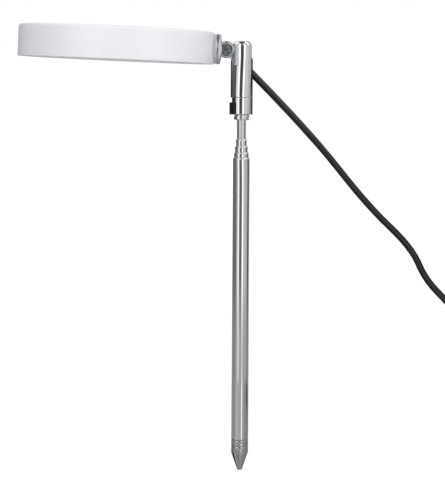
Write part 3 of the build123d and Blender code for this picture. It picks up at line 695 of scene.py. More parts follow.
@dataclass
class Studio:
    """Plain white studio: floor, soft lamps, and cards that the chrome reflects.

    Attributes:
        floor_z: height of the floor in mm.
        floor_reach: half the floor's width in mm.
        paper: the floor's colour.
        glow: how bright the floor is where it is seen, by distance from the mast in mm.
        lamps: the soft lamps.
        tent_r: distance of the cards in mm.
        tent_top: heights at which the cards end, the cloth above them ends and the roof
            over it has its middle, in mm.
        close_top: height in mm up to which the cards have close rings of points.
        rings: rings of points in the ground, the cards, the cloth and the roof.
        columns: points in each ring.
        holes: radii in mm of the ground's first ring and the roof's last two.
        lifts: heights in mm of the ground over the floor, the cards' first ring over the
            floor and the cloth's first ring over the cards.
        eye: height in mm from which the cloth's slopes are counted.
        cloth: brightness of the cloth and roof by degrees from the front.
        overhead: slopes between which it goes over into the dark overhead, and that tone.
        lean: how far the cards are turned to the right, in degrees, by height in mm.
        levels: heights in mm of the soil, tube, tube, rod, rod, lamp, lamp and top tones.
        foot: brightness by azimuth of the ground right under the mast.
        foot_r: radius in mm up to which that holds. At twice that it is gone.
        feather: softness of the cards' edges in degrees.
        ambient: level of the light from all round.
        cards: the cards in order round the object.
    """

    floor_z: float = -60.8
    floor_reach: float = 6000.0
    paper: str = "#d2d2d2"
    glow: tuple = ((350.0, 0.62), (2200.0, 0.90))
    lamps: tuple = (
        Lamp("key_softbox", (620, -1250, 760), (-20, 0, 100), 1100, 6.2),
        Lamp("fill_softbox", (-900, -1100, 420), (-20, 0, 120), 900, 4.4),
        Lamp("side_softbox", (1100, -500, 300), (-40, 0, 185), 700, 2.1),
        Lamp("top_softbox", (-70, -300, 1500), (-70, 0, 180), 700, 3.0),
    )
    tent_r: float = 300.0
    tent_top: tuple = (420.0, 960.0, 1000.0)
    close_top: float = 290.0
    rings: tuple = (24, 96, 40, 30)
    columns: int = 720
    holes: tuple = (1.5, 20.0, 1.0)
    lifts: tuple = (0.4, 1.0, 5.0)
    eye: float = 190.0
    cloth: tuple = (
        (18, 0.12), (26, 1.3), (48, 1.3), (54, 0.6), (88, 0.6), (94, 1.3), (150, 1.3),
        (158, 0.34),
    )
    overhead: tuple = (2.33, 2.97, 0.12)
    lean: tuple = ((96, 5.0), (111, 1.2), (140, 0.5), (160, 2.1), (178, 7.6), (195, 16.0))
    levels: tuple = (-28.0, 26.0, 122.0, 126.0, 139.0, 142.0, 235.0, 285.0)
    foot: tuple = (
        (-88, 0.03), (-82, 0.34), (-68, 0.54), (-58, 0.5), (-48, 0.2), (-20, 0.27),
        (8, 0.38), (40, 0.31), (70, 0.27),
    )
    foot_r: float = 40.0
    feather: float = 2.5
    ambient: float = 0.5
    cards: list[Card] = field(
        default_factory=lambda: [
            Card(-180, -152, (0.80, 1.00, 0.60, 1.00, 0.80), 0.50),
            Card(-152, -74, (0.25, 0.12, 0.12, 0.17, 0.30), 0.33),
            Card(-72, -48, (1.30, 0.95, 0.60, 0.50, 0.48), 0.50),
            Card(-48, -30, (1.00, 1.50, 1.10, 1.38, 0.78), 0.54),
            Card(-30, -19, (1.00, 0.08, 0.62, 0.15, 0.72), 0.44),
            Card(-19, 4, (1.00, 0.08, 0.54, 0.15, 0.44), 0.46),
            Card(6, 9, (0.60, 1.50, 0.70, 1.38, 0.78), 0.50),
            Card(9, 28, (0.90, 1.50, 0.85, 1.38, 0.80), 1.10),
            Card(30, 68, (1.30, 0.76, 0.78, 0.62, 0.46), 0.36),
            Card(68, 90, (1.30, 0.60, 0.26, 0.46, 0.42), 0.30),
            Card(90, 122, (1.00, 0.56, 0.12, 0.09, 0.26), 0.24),
            Card(124, 152, (0.20, 0.40, 0.70, 0.80, 0.60), 0.40),
            Card(152, 180, (0.80, 0.16, 0.30, 0.16, 0.25), 0.25),
        ]
    )

    def build(self) -> None:
        """Set the colour handling, the world, the floor, the lamps and the cards."""
        scene = bpy.context.scene
        scene.view_settings.view_transform = "Standard"
        self.light_world(scene)
        self.lay_floor()
        for lamp in self.lamps:
            lamp.hang()
        self.stand_cards()
        LOG.info("studio set with %d lamps and %d cards", len(self.lamps), len(self.cards))

    def seen(self, tree: bpy.types.NodeTree) -> bpy.types.NodeSocket:
        """One where the camera, a reflection or a view through glass meets a surface.

        Args:
            tree: the node tree that uses it.

        Returns:
            The socket that carries it.
        """
        path = add_node(tree, "ShaderNodeLightPath")
        either = add_node(
            tree,
            "ShaderNodeMath",
            {0: path.outputs["Is Camera Ray"], 1: path.outputs["Is Glossy Ray"]},
            operation="MAXIMUM",
        )
        return add_node(
            tree,
            "ShaderNodeMath",
            {0: either.outputs[0], 1: path.outputs["Is Transmission Ray"]},
            operation="MAXIMUM",
        ).outputs[0]

    def light_world(self, scene: bpy.types.Scene) -> None:
        """White where it is seen, and a plain level of light everywhere else.

        Args:
            scene: the scene that it surrounds.
        """
        world = bpy.data.worlds.new("white_studio")
        world.use_nodes = True
        scene.world = world
        tree = world.node_tree
        level = add_node(
            tree,
            "ShaderNodeMapRange",
            {"Value": self.seen(tree), "To Min": self.ambient, "To Max": 1.0},
        )
        tree.links.new(level.outputs["Result"], tree.nodes["Background"].inputs["Strength"])
        tree.nodes["Background"].inputs["Color"].default_value = linear("#ffffff")

    def lay_floor(self) -> None:
        """Lay a wide pale floor that keeps the object's shadow.

        It glows a little where it is seen, more the further it is from the mast, so that it
        goes over into the white of the world.
        """
        across = np.array([-self.floor_reach, self.floor_reach])
        x, y = np.meshgrid(across, across)
        grid = np.stack((x, y, np.full_like(x, self.floor_z)), axis=-1)
        mesh = bpy.data.meshes.new("studio_floor")
        mesh.from_pydata((grid.reshape(-1, 3) * MM).tolist(), [], [(0, 1, 3, 2)])
        floor = new_object("studio_floor", mesh)
        material = new_material("matt_white_paper")
        tree = material.node_tree
        tree.nodes.remove(tree.nodes["Principled BSDF"])
        matt = add_node(tree, "ShaderNodeBsdfDiffuse", {"Color": linear(self.paper)})
        place = add_node(tree, "ShaderNodeTexCoord").outputs["Object"]
        away = add_node(
            tree, "ShaderNodeVectorMath", {0: place, 1: (0.0, 0.0, 0.0)}, operation="DISTANCE"
        )
        (near, low), (far, high) = self.glow
        level = add_node(
            tree,
            "ShaderNodeMapRange",
            {
                "Value": away.outputs["Value"],
                "From Min": near * MM,
                "From Max": far * MM,
                "To Min": low,
                "To Max": high,
            },
        )
        shown = add_node(
            tree,
            "ShaderNodeMath",
            {0: self.seen(tree), 1: level.outputs["Result"]},
            operation="MULTIPLY",
        )
        glow = add_node(tree, "ShaderNodeEmission", {"Strength": shown.outputs[0]})
        both = add_node(tree, "ShaderNodeAddShader", {0: matt.outputs[0], 1: glow.outputs[0]})
        tree.links.new(both.outputs[0], tree.nodes["Material Output"].inputs["Surface"])
        mesh.materials.append(material)

    def tent_rings(self) -> tuple[np.ndarray, np.ndarray]:
        """Find the tent's rings: out over the ground, up the cards and cloth, in at the roof.

        Returns:
            Their radii and their heights in mm.
        """
        ground, cards, cloth, roof = self.rings
        card_top, cloth_top, middle = self.tent_top
        ground_lift, card_lift, cloth_lift = self.lifts
        first, last_but_one, last = self.holes
        ground_r = np.geomspace(first, self.tent_r, ground)
        wall_z = np.concatenate(
            (
                np.linspace(self.floor_z + card_lift, self.close_top, cards),
                [card_top],
                np.linspace(card_top + cloth_lift, cloth_top, cloth),
            )
        )
        roof_r = np.append(np.linspace(self.tent_r, last_but_one, roof)[1:], last)
        roof_z = cloth_top + (1 - roof_r / self.tent_r) * (middle - cloth_top)
        ground_z = np.full_like(ground_r, self.floor_z + ground_lift)
        radius = np.concatenate((ground_r, np.full_like(wall_z, self.tent_r), roof_r))
        return radius, np.concatenate((ground_z, wall_z, roof_z))

    def tent_levels(
        self, azimuth: np.ndarray, radius: np.ndarray, heights: np.ndarray
    ) -> np.ndarray:
        """Work out the tent's brightness.

        The brightness at azimuth a and height z is the sum over the cards of
        step(a - start) * step(end - a) * tone(z), where step is a soft step as wide as the
        feather and tone is straight between the card's tones at their levels. The azimuth
        a is less by the lean at that height. The ground has the cards' ground tones, which
        go over into the foot's tones towards its middle. Above the cards the tone depends
        on the azimuth, and on the slope (z - eye) / radius, which is 1 at 45 degrees.

        Args:
            azimuth: of the columns, in degrees.
            radius: of the rings, in mm.
            heights: of the rings, in mm.

        Returns:
            An array with a row for each ring and a column for each azimuth.
        """
        lean = np.interp(heights, *np.transpose(self.lean))[:, None]
        angle = (azimuth - lean + 180) % 360 - 180
        ground = slice(self.rings[0])
        level = np.zeros(angle.shape)
        for card in self.cards:
            left = np.clip((angle - card.start) / self.feather + 0.5, 0, 1)
            right = np.clip((card.end - angle) / self.feather + 0.5, 0, 1)
            above, lamp, rod, tube, soil = card.tones
            tone = np.interp(
                heights, self.levels, (soil, tube, tube, rod, rod, lamp, lamp, above)
            )
            tone[ground] = card.ground
            level += left * right * tone[:, None]
        away = np.clip(radius[ground] / self.foot_r - 1, 0, 1)[:, None]
        foot = np.interp(azimuth, *np.transpose(self.foot))
        level[ground] = foot + (level[ground] - foot) * away
        high = heights > self.tent_top[0]
        slope = (heights[high] - self.eye) / radius[high]
        share = np.interp(slope, self.overhead[:2], (0, 1))[:, None]
        cloth = np.interp(np.abs(azimuth), *np.transpose(self.cloth))
        level[high] = cloth + (self.overhead[2] - cloth) * share
        return level

    def stand_cards(self) -> None:
        """Stand the cards round the object, under a roof and round a toned ground.

        The point at azimuth a of a ring is (radius * sin a, -radius * cos a, height).
        """
        turn = np.radians(np.linspace(-180, 180, self.columns + 1)[:-1])
        radius, heights = self.tent_rings()
        grid = np.stack(
            (
                radius[:, None] * np.sin(turn),
                -radius[:, None] * np.cos(turn),
                heights[:, None] + 0 * turn,
            ),
            axis=-1,
        )
        level = self.tent_levels(np.degrees(turn), radius, heights)
        tent = mesh_piece("reflection_cards", [grid])
        # no two of these points are merged, so the levels still match their order
        shade = tent.data.attributes.new("level", "FLOAT", "POINT")
        shade.data.foreach_set("value", level.reshape(-1).astype(np.float32))
        material = new_material("card_tones")
        tree = material.node_tree
        tree.nodes.remove(tree.nodes["Principled BSDF"])
        tone = add_node(tree, "ShaderNodeAttribute", attribute_name="level")
        glow = add_node(tree, "ShaderNodeEmission", {"Strength": tone.outputs["Fac"]})
        tree.links.new(glow.outputs[0], tree.nodes["Material Output"].inputs["Surface"])
        tent.data.materials.append(material)
        tent.visible_camera = False
        tent.visible_diffuse = False
        tent.visible_shadow = False
        tent.visible_transmission = False


# ------------------------------------------------------------------ lead
@dataclass
class Lead:
    """The lead, from the rear cover down to a tied coil, and its plug.

    Attributes:
        diameter: of the jacket.
        length: real length.
        falling: points from the rear cover to the coil.
        coil_centre: middle of the coil.
        coil_r: middle radius of its innermost and outermost turn.
        layers: heights of the two layers' middles.
        turns: turns in each layer.
        per_turn: points in each turn.
        tail: points from the coil to the plug.
    """

    diameter: float = 4.1
    length: float = 1500.0
    falling: tuple = (
        (5.202, 3.642, 172.5),
        (40.55, 10.194, 137.172),
        (74.3, 12.5, 94.8),
        (100.7, 12.0, 70.2),
        (108.5, 11.0, 52.0),
        (122.0, 10.0, 38.0),
        (139.0, 9.4, 20.0),
        (151.5, 8.8, -2.0),
        (162.0, 8.3, -24.0),
        (175.0, 8.0, -43.0),
        (192.0, 8.0, -54.1),
    )
    coil_centre: tuple = (223.0, 38.0)
    coil_r: tuple = (13.6, 30.0)
    layers: tuple = (-57.65, -53.55)
    turns: float = 4.0
    per_turn: int = 16
    tail: tuple = ((200.0, 69.0, -56.6), (189.0, 69.0, -56.6))

    def coil(self) -> np.ndarray:
        """Points of the two layers: inwards below, half a turn up, outwards above.

        The control points stand outside the turns by 1 / cos(pi / per_turn), so that the
        curve itself has the turn's radius.

        Returns:
            The points in order, in mm.
        """
        count = int(self.turns * self.per_turn)
        inner, outer = self.coil_r
        lower, upper = self.layers
        half = self.per_turn // 2
        radius = np.concatenate(
            (
                np.linspace(outer, inner, count + 1),
                np.full(half - 1, inner),
                np.linspace(inner, outer, count + 1),
            )
        )
        height = np.concatenate(
            (
                np.full(count + 1, lower),
                np.linspace(lower, upper, half + 1)[1:-1],
                np.full(count + 1, upper),
            )
        )
        turn = -math.pi / 2 + np.arange(len(radius)) * TAU / self.per_turn
        reach = radius / math.cos(math.pi / self.per_turn)
        return np.column_stack(
            (
                self.coil_centre[0] + reach * np.cos(turn),
                self.coil_centre[1] + reach * np.sin(turn),
                height,
            )
        )

    def build(self) -> None:
        """Make the lead as one open spline along the route's points."""
        points = np.vstack((self.falling, self.coil(), self.tail)) * MM
        curve = bpy.data.curves.new("lead", "CURVE")
        curve.dimensions = "3D"
        curve.bevel_depth = self.diameter / 2 * MM
        curve.bevel_resolution = 6
        curve.use_fill_caps = True
        spline = curve.splines.new("NURBS")
        spline.points.add(len(points) - 1)
        spline.points.foreach_set("co", np.column_stack((points, np.ones(len(points)))).ravel())
        spline.order_u = 3
        spline.use_endpoint_u = True
        spline.resolution_u = 6
        lead = new_object("lead", curve)
        lead.data.materials.append(BLACK_PVC.material())
        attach(lead, "housing")
        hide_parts("cord", "cord_coil", "cord_tail")
        LOG.info("lead laid with %d points", len(points))


# ------------------------------------------------------------------ mast
@dataclass
class Mast:
    """Ground tube, three drawn tubes and the rod. All sizes are in mm.

    Attributes:
        tube_ods: outside diameters from the ground tube to the rod.
        wall: of the tubes.
        rod_wall: of the rod.
        tops: upper ends of the four tubes and the rod.
        bottom: lower end of the ground tube.
        nest_floor: lower end of the drawn tubes and the rod.
        edge: broken edge at the foot of a tube.
        lip_height: height over which a tube's end is rolled in.
        lip_land: straight length inside the lip.
        lip_run: how far below the lip the bore has its full width.
        slide_gap: between a lip and the tube inside it.
        ring: how far below its lip a tube has a ring of points, which keeps the shading of
            the long wall upright.
        crimps: heights of the two rolled grooves that hold the stake tip.
        crimp_width: how far a groove reaches up and down from its middle.
        crimp_fall: how many times the groove's bell curve goes into that.
        crimp_depth: depth of a groove.
        crimp_rings: rings of points in a groove.
        rod_edges: fillets at the ends of the rod, at its bore and outside.
        rod_ring: how far from its ends the rod has such rings.
        segments: facets round each tube.
    """

    tube_ods: tuple = (10.0, 8.8, 7.6, 6.4, 5.2)
    wall: float = 0.35
    rod_wall: float = 0.6
    tops: tuple = (123.1, 126.2, 130.0, 133.9, 144.8)
    bottom: float = -49.8
    nest_floor: float = -35.3
    edge: float = 0.05
    lip_height: float = 1.2
    lip_land: float = 0.5
    lip_run: float = 0.25
    slide_gap: float = 0.05
    ring: float = 0.3
    crimps: tuple = (-45.9, -42.3)
    crimp_width: float = 0.8
    crimp_fall: float = 2.2
    crimp_depth: float = 0.12
    crimp_rings: int = 25
    rod_edges: tuple = (0.1, 0.15)
    rod_ring: float = 0.5
    segments: int = 128

    def tube_outline(self, index: int) -> np.ndarray:
        """Outline of a rolled tube: up the outside, over the lip, down the inside.

        At a distance d from its middle, a crimped groove is crimp_depth * exp(-(d / b)^2)
        deep, where b is crimp_width / crimp_fall.

        Args:
            index: 0 for the ground tube.

        Returns:
            Closed (radius, height) points.
        """
        r = self.tube_ods[index] / 2
        bore = r - self.wall
        lip_r = self.tube_ods[index + 1] / 2 + self.slide_gap
        top = self.tops[index]
        low = self.nest_floor if index else self.bottom
        outside = [np.array([[bore, low], [r - self.edge, low], [r, low + self.edge]])]
        if not index:
            lift = np.linspace(-self.crimp_width, self.crimp_width, self.crimp_rings)
            dip = np.exp(-((lift / (self.crimp_width / self.crimp_fall)) ** 2))
            for z in self.crimps:
                outside.append(np.column_stack((r - dip * self.crimp_depth, z + lift)))
        shoulder = top - self.lip_height
        return np.vstack(
            (
                *outside,
                [[r, shoulder - self.ring]],
                arc((lip_r, shoulder), (r - lip_r, self.lip_height), 0, 90, steps=10),
                [[lip_r, top - self.lip_land]],
                [[bore, shoulder - self.lip_run], [bore, low]],
            )
        )

    def build(self) -> None:
        """Make and dress the tubes and the rod."""
        for index in range(len(self.tops) - 1):
            name = f"drawn_tube_{index}" if index else "ground_tube_chromed"
            node = f"mast_section_{index}" if index else "outer_tube"
            body = f"section_{index}" if index else "ground_tube"
            piece = mesh_piece(name, [spin(self.tube_outline(index), self.segments)])
            settle(piece, body, "chromed_steel", CHROMED_TUBE, node)
            if not index:
                self.mark_crimps(piece.data)
        self.build_rod()

    def mark_crimps(self, mesh: bpy.types.Mesh) -> None:
        """Give the crimped end of the ground tube its dented finish, whose colour patches are
        painted glint and shade.

        Args:
            mesh: the ground tube's mesh.
        """
        # the crimped faces get the finish with painted glint and shade in its colour
        mesh.materials.append(CHROMED_CRIMP_PAINTED_GLINT.material())
        heights = read(mesh.polygons, "center", 3)[:, 2]
        crimped = heights < (max(self.crimps) + self.crimp_width) * MM
        mesh.polygons.foreach_set("material_index", crimped.astype(np.int32))

    def build_rod(self) -> None:
        """Make the thin rod at the top of the mast, a tube with softly broken edges."""
        r = self.tube_ods[-1] / 2
        bore = r - self.rod_wall
        low, high = self.nest_floor, self.tops[-1]
        inner, outer = self.rod_edges
        outline = rounded(
            [
                (bore, 0.0, 0),
                (bore, low, inner),
                (r, low, outer),
                (r, low + self.rod_ring, 0),
                (r, high - self.rod_ring, 0),
                (r, high, outer),
                (bore, high, inner),
                (bore, 0.0, 0),
            ]
        )
        piece = mesh_piece("mast_rod_chromed", [spin(outline, self.segments)])
        settle(piece, "rod", "chromed_steel", NICKELED_ROD, "mast_rod")


@dataclass
class StakeTip:
    """The turned stake tip: a cone with a rounded point, and a spigot in the ground tube.

    Attributes:
        point_z: lower end of the point.
        point_r: radius at which the cone's side would meet that end.
        point_round: radius of the rounded point.
        shoulder_z: upper end of the cone, just clear of the tube.
        shoulder_r: radius of the cone there.
        shoulder_edge: fillet there.
        spigot_r: radius of the spigot.
        spigot_z: upper end of the spigot.
        chamfer: at that end.
        segments: facets round it.
    """

    point_z: float = -60.6
    point_r: float = 1.2
    point_round: float = 1.3
    shoulder_z: float = -49.82
    shoulder_r: float = 4.9
    shoulder_edge: float = 0.2
    spigot_r: float = 4.51
    spigot_z: float = -35.8
    chamfer: float = 0.8
    segments: int = 128

    def build(self) -> None:
        """Make and dress the stake tip."""
        outline = rounded(
            [
                (0.0, self.point_z, 0),
                (self.point_r, self.point_z, self.point_round),
                (self.shoulder_r, self.shoulder_z, self.shoulder_edge),
                (self.spigot_r, self.shoulder_z, 0),
                (self.spigot_r, self.spigot_z - self.chamfer, 0),
                (self.spigot_r - self.chamfer, self.spigot_z, 0),
                (0.0, self.spigot_z, 0),
            ],
            steps=8,
        )
        piece = mesh_piece("stake_tip_turned", [spin(outline, self.segments)])
        settle(piece, "ground_tube", "turned_steel", TURNED_STEEL, "stake_tip")


@dataclass
class ThreadedStud:
    """The stud that joins the rod to the housing, with its cut thread.

    Attributes:
        r: outside radius of the thread.
        depth: of the thread.
        pitch: of the thread.
        start: how far the crest at angle 0 is above a whole number of pitches, as a share
            of the pitch.
        crest: share of the pitch that is flat at the crest.
        root: share of the pitch that is flat at the root.
        bottom: its shoulder on the rod.
        top: its end inside the collar.
        chamfer: at both ends.
        spigot_r: radius of the spigot in the rod.
        spigot: length of the spigot.
        segments: facets round it.
        rows: rings of points along the thread.
        crisp: faces that meet at more than this angle in degrees keep a crisp edge.
    """

    r: float = 4.5
    depth: float = 0.5
    pitch: float = 2.9
    start: float = 0.784
    crest: float = 0.7
    root: float = 0.04
    bottom: float = 144.8
    top: float = 151.5
    chamfer: float = 0.4
    spigot_r: float = 1.98
    spigot: float = 8.0
    segments: int = 144
    rows: int = 116
    crisp: float = 30.0

    def build(self) -> None:
        """Make and dress the stud.

        The thread's radius at angle t and height z is r - depth * w, where w is the
        distance from z / pitch - t / tau - start to the nearest whole number, doubled, and
        stretched and clipped so that the crest and the root are flat. Near an end the
        radius is held inside the chamfer's cone.
        """
        turn = np.linspace(0, TAU, self.segments, endpoint=False)
        z = np.linspace(self.bottom, self.top, self.rows)[:, None]
        phase = z / self.pitch - turn / TAU - self.start
        wave = 2 * np.abs(phase - np.round(phase))
        wave = np.clip((wave - self.crest) / (1 - self.crest - self.root), 0, 1)
        cone = self.r - self.chamfer + np.minimum(z - self.bottom, self.top - z)
        radius = np.minimum(self.r - self.depth * wave, np.maximum(cone, self.r - self.depth))
        body = np.stack((radius * np.cos(turn), radius * np.sin(turn), z + 0 * turn), axis=-1)
        low = np.array(
            [
                [0.0, self.bottom - self.spigot],
                [self.spigot_r, self.bottom - self.spigot],
                [self.spigot_r, self.bottom],
            ]
        )
        foot = spin(low, self.segments)
        shoulder = np.stack((foot[-1], body[0]))
        lid = np.stack((body[-1], np.broadcast_to([0.0, 0.0, self.top], body[-1].shape)))
        piece = mesh_piece("stud_cut_thread", [foot, shoulder, body, lid], sharp=self.crisp)
        settle(piece, "rod", "turned_steel", NICKELED_THREAD, "threaded_stud")


# ------------------------------------------------------------------ turned CAD pieces
@dataclass(frozen=True)
class Turned:
    """One smooth surface of revolution on a CAD piece.

    Attributes:
        origin: a point of its axis in mm.
        axis: direction of its axis.
        outline: (distance along the axis, radius) points, with the metal on their left.
    """

    origin: tuple
    axis: tuple
    outline: np.ndarray

    def normals(self, points: np.ndarray) -> tuple[np.ndarray, np.ndarray]:
        """Find which points lie on the surface, and its true normal there.

        A point becomes (along, radius) about the axis. Its foot is the nearest point of the
        outline's spans, and its normal is mixed from those of the span's two ends, which
        are square to the outline, and stood in the plane of the point and the axis.

        Args:
            points: array of points in mm.

        Returns:
            True where a point lies on the surface, and the unit normals.
        """
        axis = np.array(self.axis) / np.linalg.norm(self.axis)
        offset = points - np.array(self.origin)
        along = offset @ axis
        out = offset - along[:, None] * axis
        radius = np.linalg.norm(out, axis=1)
        out /= np.maximum(radius, ON_AXIS)[:, None]
        flat = np.column_stack((along, radius))
        tangent = np.gradient(self.outline, axis=0)
        square = np.column_stack((tangent[:, 1], -tangent[:, 0]))
        square /= np.linalg.norm(square, axis=1)[:, None]
        first, span = self.outline[:-1], np.diff(self.outline, axis=0)
        share = ((flat[:, None] - first) * span).sum(2) / (span * span).sum(1)
        share = np.clip(share, 0, 1)
        foot = first + share[..., None] * span
        gap = np.linalg.norm(flat[:, None] - foot, axis=2)
        best = gap.argmin(axis=1)
        part = share[np.arange(len(flat)), best][:, None]
        mixed = square[best] * (1 - part) + square[best + 1] * part
        normal = mixed[:, :1] * axis + mixed[:, 1:] * out
        return gap.min(axis=1) < ON_SURFACE, normal / np.linalg.norm(normal, axis=1)[:, None]


def turned_copy(node: bpy.types.Object, name: str, surfaces: list[Turned]) -> bpy.types.Object:
    """Copy a CAD piece and give its turned surfaces their true normals.

    The shape stays as it is. A corner of a face takes the normal of a turned surface where
    the whole face lies on it and faces the same way; every other corner keeps the one that
    smooth shading between crisp edges gives.

    Args:
        node: the CAD piece.
        name: the copy's name.
        surfaces: its surfaces of revolution.

    Returns:
        The copy.
    """
    mesh = node.data.copy()
    mesh.name = name
    smooth(mesh, CRISP)
    points = read(mesh.vertices, "co", 3) / MM
    facing = read(mesh.polygons, "normal", 3)
    corner = read(mesh.loops, "vertex_index", 1, np.int32)[:, 0]
    size = read(mesh.polygons, "loop_total", 1, np.int32)[:, 0]
    face = np.repeat(np.arange(len(size)), size)
    custom = np.zeros((len(corner), 3))
    for surface in surfaces:
        near, normal = surface.normals(points)
        agree = near[corner] & ((normal[corner] * facing[face]).sum(1) > SAME_WAY)
        whole = np.bincount(face, ~agree, len(size)) == 0
        use = whole[face] & (np.abs(custom).sum(1) == 0)
        custom[use] = normal[corner[use]]
    mesh.normals_split_custom_set(custom.tolist())
    LOG.info("%s: true normals on %d of %d corners", name, custom.any(1).sum(), len(corner))
    return new_object(name, mesh)


@dataclass
class Housing:
    """Chromed housing of the lamp: the upper half with its crowned top, and the collar.

    Attributes:
        r: outside radius.
        collar: heights of the collar's two ends.
        upper: heights of the upper half's two ends.
        bevel: on both sides of the seam.
        dome: how far its crowned bevel starts down from the top and in from the side.
        crown: how far that bevel stands out of a straight one.
        crease: radius of the fillets at the bevel's two edges.
    """

    r: float = 5.65
    collar: tuple = (148.0, 157.8)
    upper: tuple = (157.9, 190.3)
    bevel: float = 0.2
    dome: tuple = (2.2, 2.25)
    crown: float = 0.28
    crease: float = 0.6

    def top_outline(self) -> np.ndarray:
        """Outline of the upper half: up the side and over the crowned top.

        The bevel is an arc through its two ends and a point that stands out of the middle
        of their chord by the crown; its radius is (half chord squared + crown squared) over
        twice the crown. Each corner is then rounded by the crease's radius.

        Returns:
            (height, radius) points from the middle of the top down.
        """
        foot = np.array([self.r, self.upper[1] - self.dome[0]])
        rim = np.array([self.r - self.dome[1], self.upper[1]])
        chord = rim - foot
        half = np.linalg.norm(chord) / 2
        radius = (half**2 + self.crown**2) / (2 * self.crown)
        out = np.array([chord[1], -chord[0]]) / (2 * half)
        centre = (foot + rim) / 2 - out * (radius - self.crown)
        first = math.degrees(math.atan2(*(foot - centre)[::-1]))
        last = math.degrees(math.atan2(*(rim - centre)[::-1]))
        crest = arc(centre, (radius, radius), first, last, steps=12)
        # the points next to the bevel's two ends make room for the fillets
        corners = [(self.r, self.upper[0] + self.bevel, 0), (*foot, self.crease)]
        corners += [(*point, 0) for point in crest[2:-2]]
        corners += [(*rim, self.crease), (0.0, self.upper[1], 0)]
        return rounded(corners, steps=6)[::-1, ::-1]

    def build(self, nodes: dict) -> None:
        """Make and dress both halves.

        Args:
            nodes: the CAD nodes by name.
        """
        top = Turned((0, 0, 0), (0, 0, 1), self.top_outline())
        piece = turned_copy(nodes["upper_housing"], "housing_upper_chromed", [top])
        settle(piece, "housing", "chromed_steel", CHROMED_BAR, "upper_housing")
        low, high = self.collar
        side = Turned((0, 0, 0), (0, 0, 1), np.array([[high - self.bevel, self.r], [low, self.r]]))
        piece = turned_copy(nodes["lower_housing"], "housing_collar_chromed", [side])
        settle(piece, "housing", "chromed_steel", CHROMED_BAR, "lower_housing")


@dataclass
class Hinge:
    """Bracket of the lamp head with its barrelled flange, and the hinge screw's cap.

    Attributes:
        pivot: middle of the hinge.
        tilt: degrees by which the head's free end stands high.
        ear_r: radius of the fork's ears.
        ear_outer: half the width over both ears.
        cap_r: radius of the screw's cap.
        cap_height: height of the cap.
        cap_edge: fillet on the cap.
        cap_face: distance of its face from the hinge's middle plane.
        flange_r: radius of the flange's ends.
        face: from the hinge axis to the flange's face.
        flat_r: radius of the flat of its face.
        bevel: from its face back to its rim.
        barrel_r: radius of the rim's barrel.
        belly: from the face back to the widest part of the rim.
        back: from the hinge axis to the end of the rim.
        edge_fall: how far back and how far in the outline falls at that end.
        rim_points: points along the rim.
    """

    pivot: tuple = HINGE
    tilt: float = 2.3
    ear_r: float = 4.9
    ear_outer: float = 2.8
    cap_r: float = 4.3
    cap_height: float = 1.6
    cap_edge: float = 0.6
    cap_face: float = 4.05
    flange_r: float = 8.7
    face: float = 2.6
    flat_r: float = 4.1
    bevel: float = 0.8
    barrel_r: float = 5.5
    belly: float = 2.4
    back: float = 7.1
    edge_fall: tuple = (0.03, 0.14)
    rim_points: int = 30

    def build(self, nodes: dict) -> None:
        """Make and dress the bracket and the screw.

        The rim's radius at distance d behind the face is the flange's radius plus
        sqrt(b^2 - (d - belly)^2) - b, where b is the barrel's radius.

        Args:
            nodes: the CAD nodes by name.
        """
        lean = math.radians(self.tilt)
        out = (math.cos(lean), 0.0, -math.sin(lean))
        behind = np.linspace(self.bevel, self.back - self.face, self.rim_points)
        bulge = np.sqrt(self.barrel_r**2 - (behind - self.belly) ** 2) - self.barrel_r
        rim = np.column_stack((-self.face - behind, self.flange_r + bulge))
        # a last short fall rounds the shading of the edge against the shell
        rim = np.vstack((rim, rim[-1] - self.edge_fall))
        face = [[-self.face, 0.0], [-self.face, self.flat_r]]
        slope = [[-self.face, self.flat_r], [-self.face - self.bevel, rim[0, 1]]]
        across = (0, -1, 0)
        ear = [[self.ear_outer, self.ear_r], [-self.ear_outer, self.ear_r]]
        surfaces = [
            Turned(self.pivot, out, rim),
            Turned(self.pivot, out, np.array(face)),
            Turned(self.pivot, out, np.array(slope)),
            Turned(self.pivot, across, np.array(ear)),
        ]
        piece = turned_copy(nodes["head_bracket"], "bracket_chromed", surfaces)
        settle(piece, "head", "chromed_steel", CHROMED_GROUND, "head_bracket")
        cap = rounded(
            [
                (self.cap_face, 0.0, 0),
                (self.cap_face, self.cap_r, self.cap_edge),
                (self.cap_face - self.cap_height, self.cap_r, 0),
            ],
            steps=8,
        )
        piece = turned_copy(
            nodes["hinge_screw"], "hinge_screw_chromed", [Turned(self.pivot, across, cap)]
        )
        settle(piece, "head", "chromed_steel", CHROMED_SWIRL, "hinge_screw")


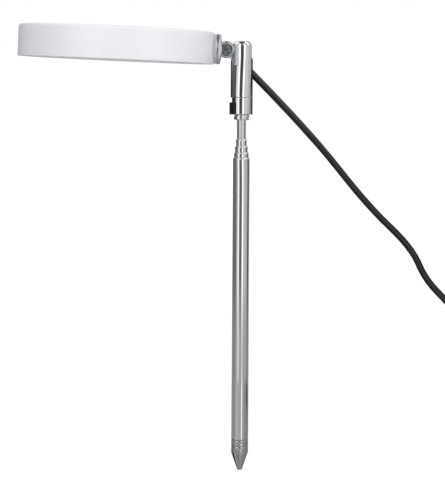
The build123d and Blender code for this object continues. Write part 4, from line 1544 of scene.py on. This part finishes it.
# ------------------------------------------------------------------ carried-over pieces
@dataclass
class CarriedPieces:
    """CAD pieces that are shown as they are, and the finish that each one wears.

    Attributes:
        finishes: finish by CAD node.
        weld: points closer than this in mm are joined.
    """

    finishes: dict = field(
        default_factory=lambda: {
            "section_1_sleeve": BRASS_STRIP,
            "section_2_sleeve": BRASS_STRIP,
            "section_3_sleeve": BRASS_STRIP,
            "rod_sleeve": BRASS_STRIP,
            "rear_cover": BLACK_ABS,
            "switch_cover": BLACK_ABS,
            "switch_track": BLACK_ABS,
            "switch_body": BLACK_ABS,
            "switch_actuator": BLACK_ABS,
            "switch_knob": BLACK_ABS,
            "cover_screws": ZINC_PLATE,
            "cord_grommet": BLACK_PVC,
            "circuit_board": GREEN_MASK,
            "hinge_nut": ZINC_PLATE,
            "hinge_washers": ZINC_PLATE,
            "head_shell": WHITE_ABS,
            "lens_cover": Frosted(),
            "led_board": WHITE_MASK,
            "white_leds": PHOSPHOR,
            "red_leds": RED_SILICONE,
            "board_screws": ZINC_PLATE,
            "bracket_screws": ZINC_PLATE,
            "cord_tie": BLACK_ABS,
            "usb_plug_body": BLACK_PVC,
            "usb_plug_shell": NICKEL_PLATE,
            "usb_plug_tongue": BLACK_ABS,
            "usb_contacts": GOLD_FLASH,
        }
    )
    weld: float = 0.002

    def dress(self, nodes: dict) -> None:
        """Give each shown node its finish and smooth shading between crisp edges.

        Args:
            nodes: the CAD nodes by name.
        """
        for name, finish in self.finishes.items():
            node = nodes[name]
            if node.hide_render:
                continue
            node.data.materials.clear()
            node.data.materials.append(finish.material())
            node.data.shade_smooth()
            weld = node.modifiers.new("weld", "WELD")
            weld.merge_threshold = self.weld * MM
            split = node.modifiers.new("crisp_edges", "EDGE_SPLIT")
            split.split_angle = math.radians(CRISP)
            LOG.info("%s dressed in %s", name, finish.name)


def main() -> None:
    """Build the camera, the lead, the mast, the housing, the hinge and the studio."""
    logging.basicConfig(level=logging.INFO, format="%(message)s")
    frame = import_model()
    Camera().build()
    Lead().build()
    Mast().build()
    StakeTip().build()
    ThreadedStud().build()
    Housing().build(frame["nodes"])
    Hinge().build(frame["nodes"])
    CarriedPieces().dress(frame["nodes"])
    Studio().build()


if __name__ == "__main__":
    main()
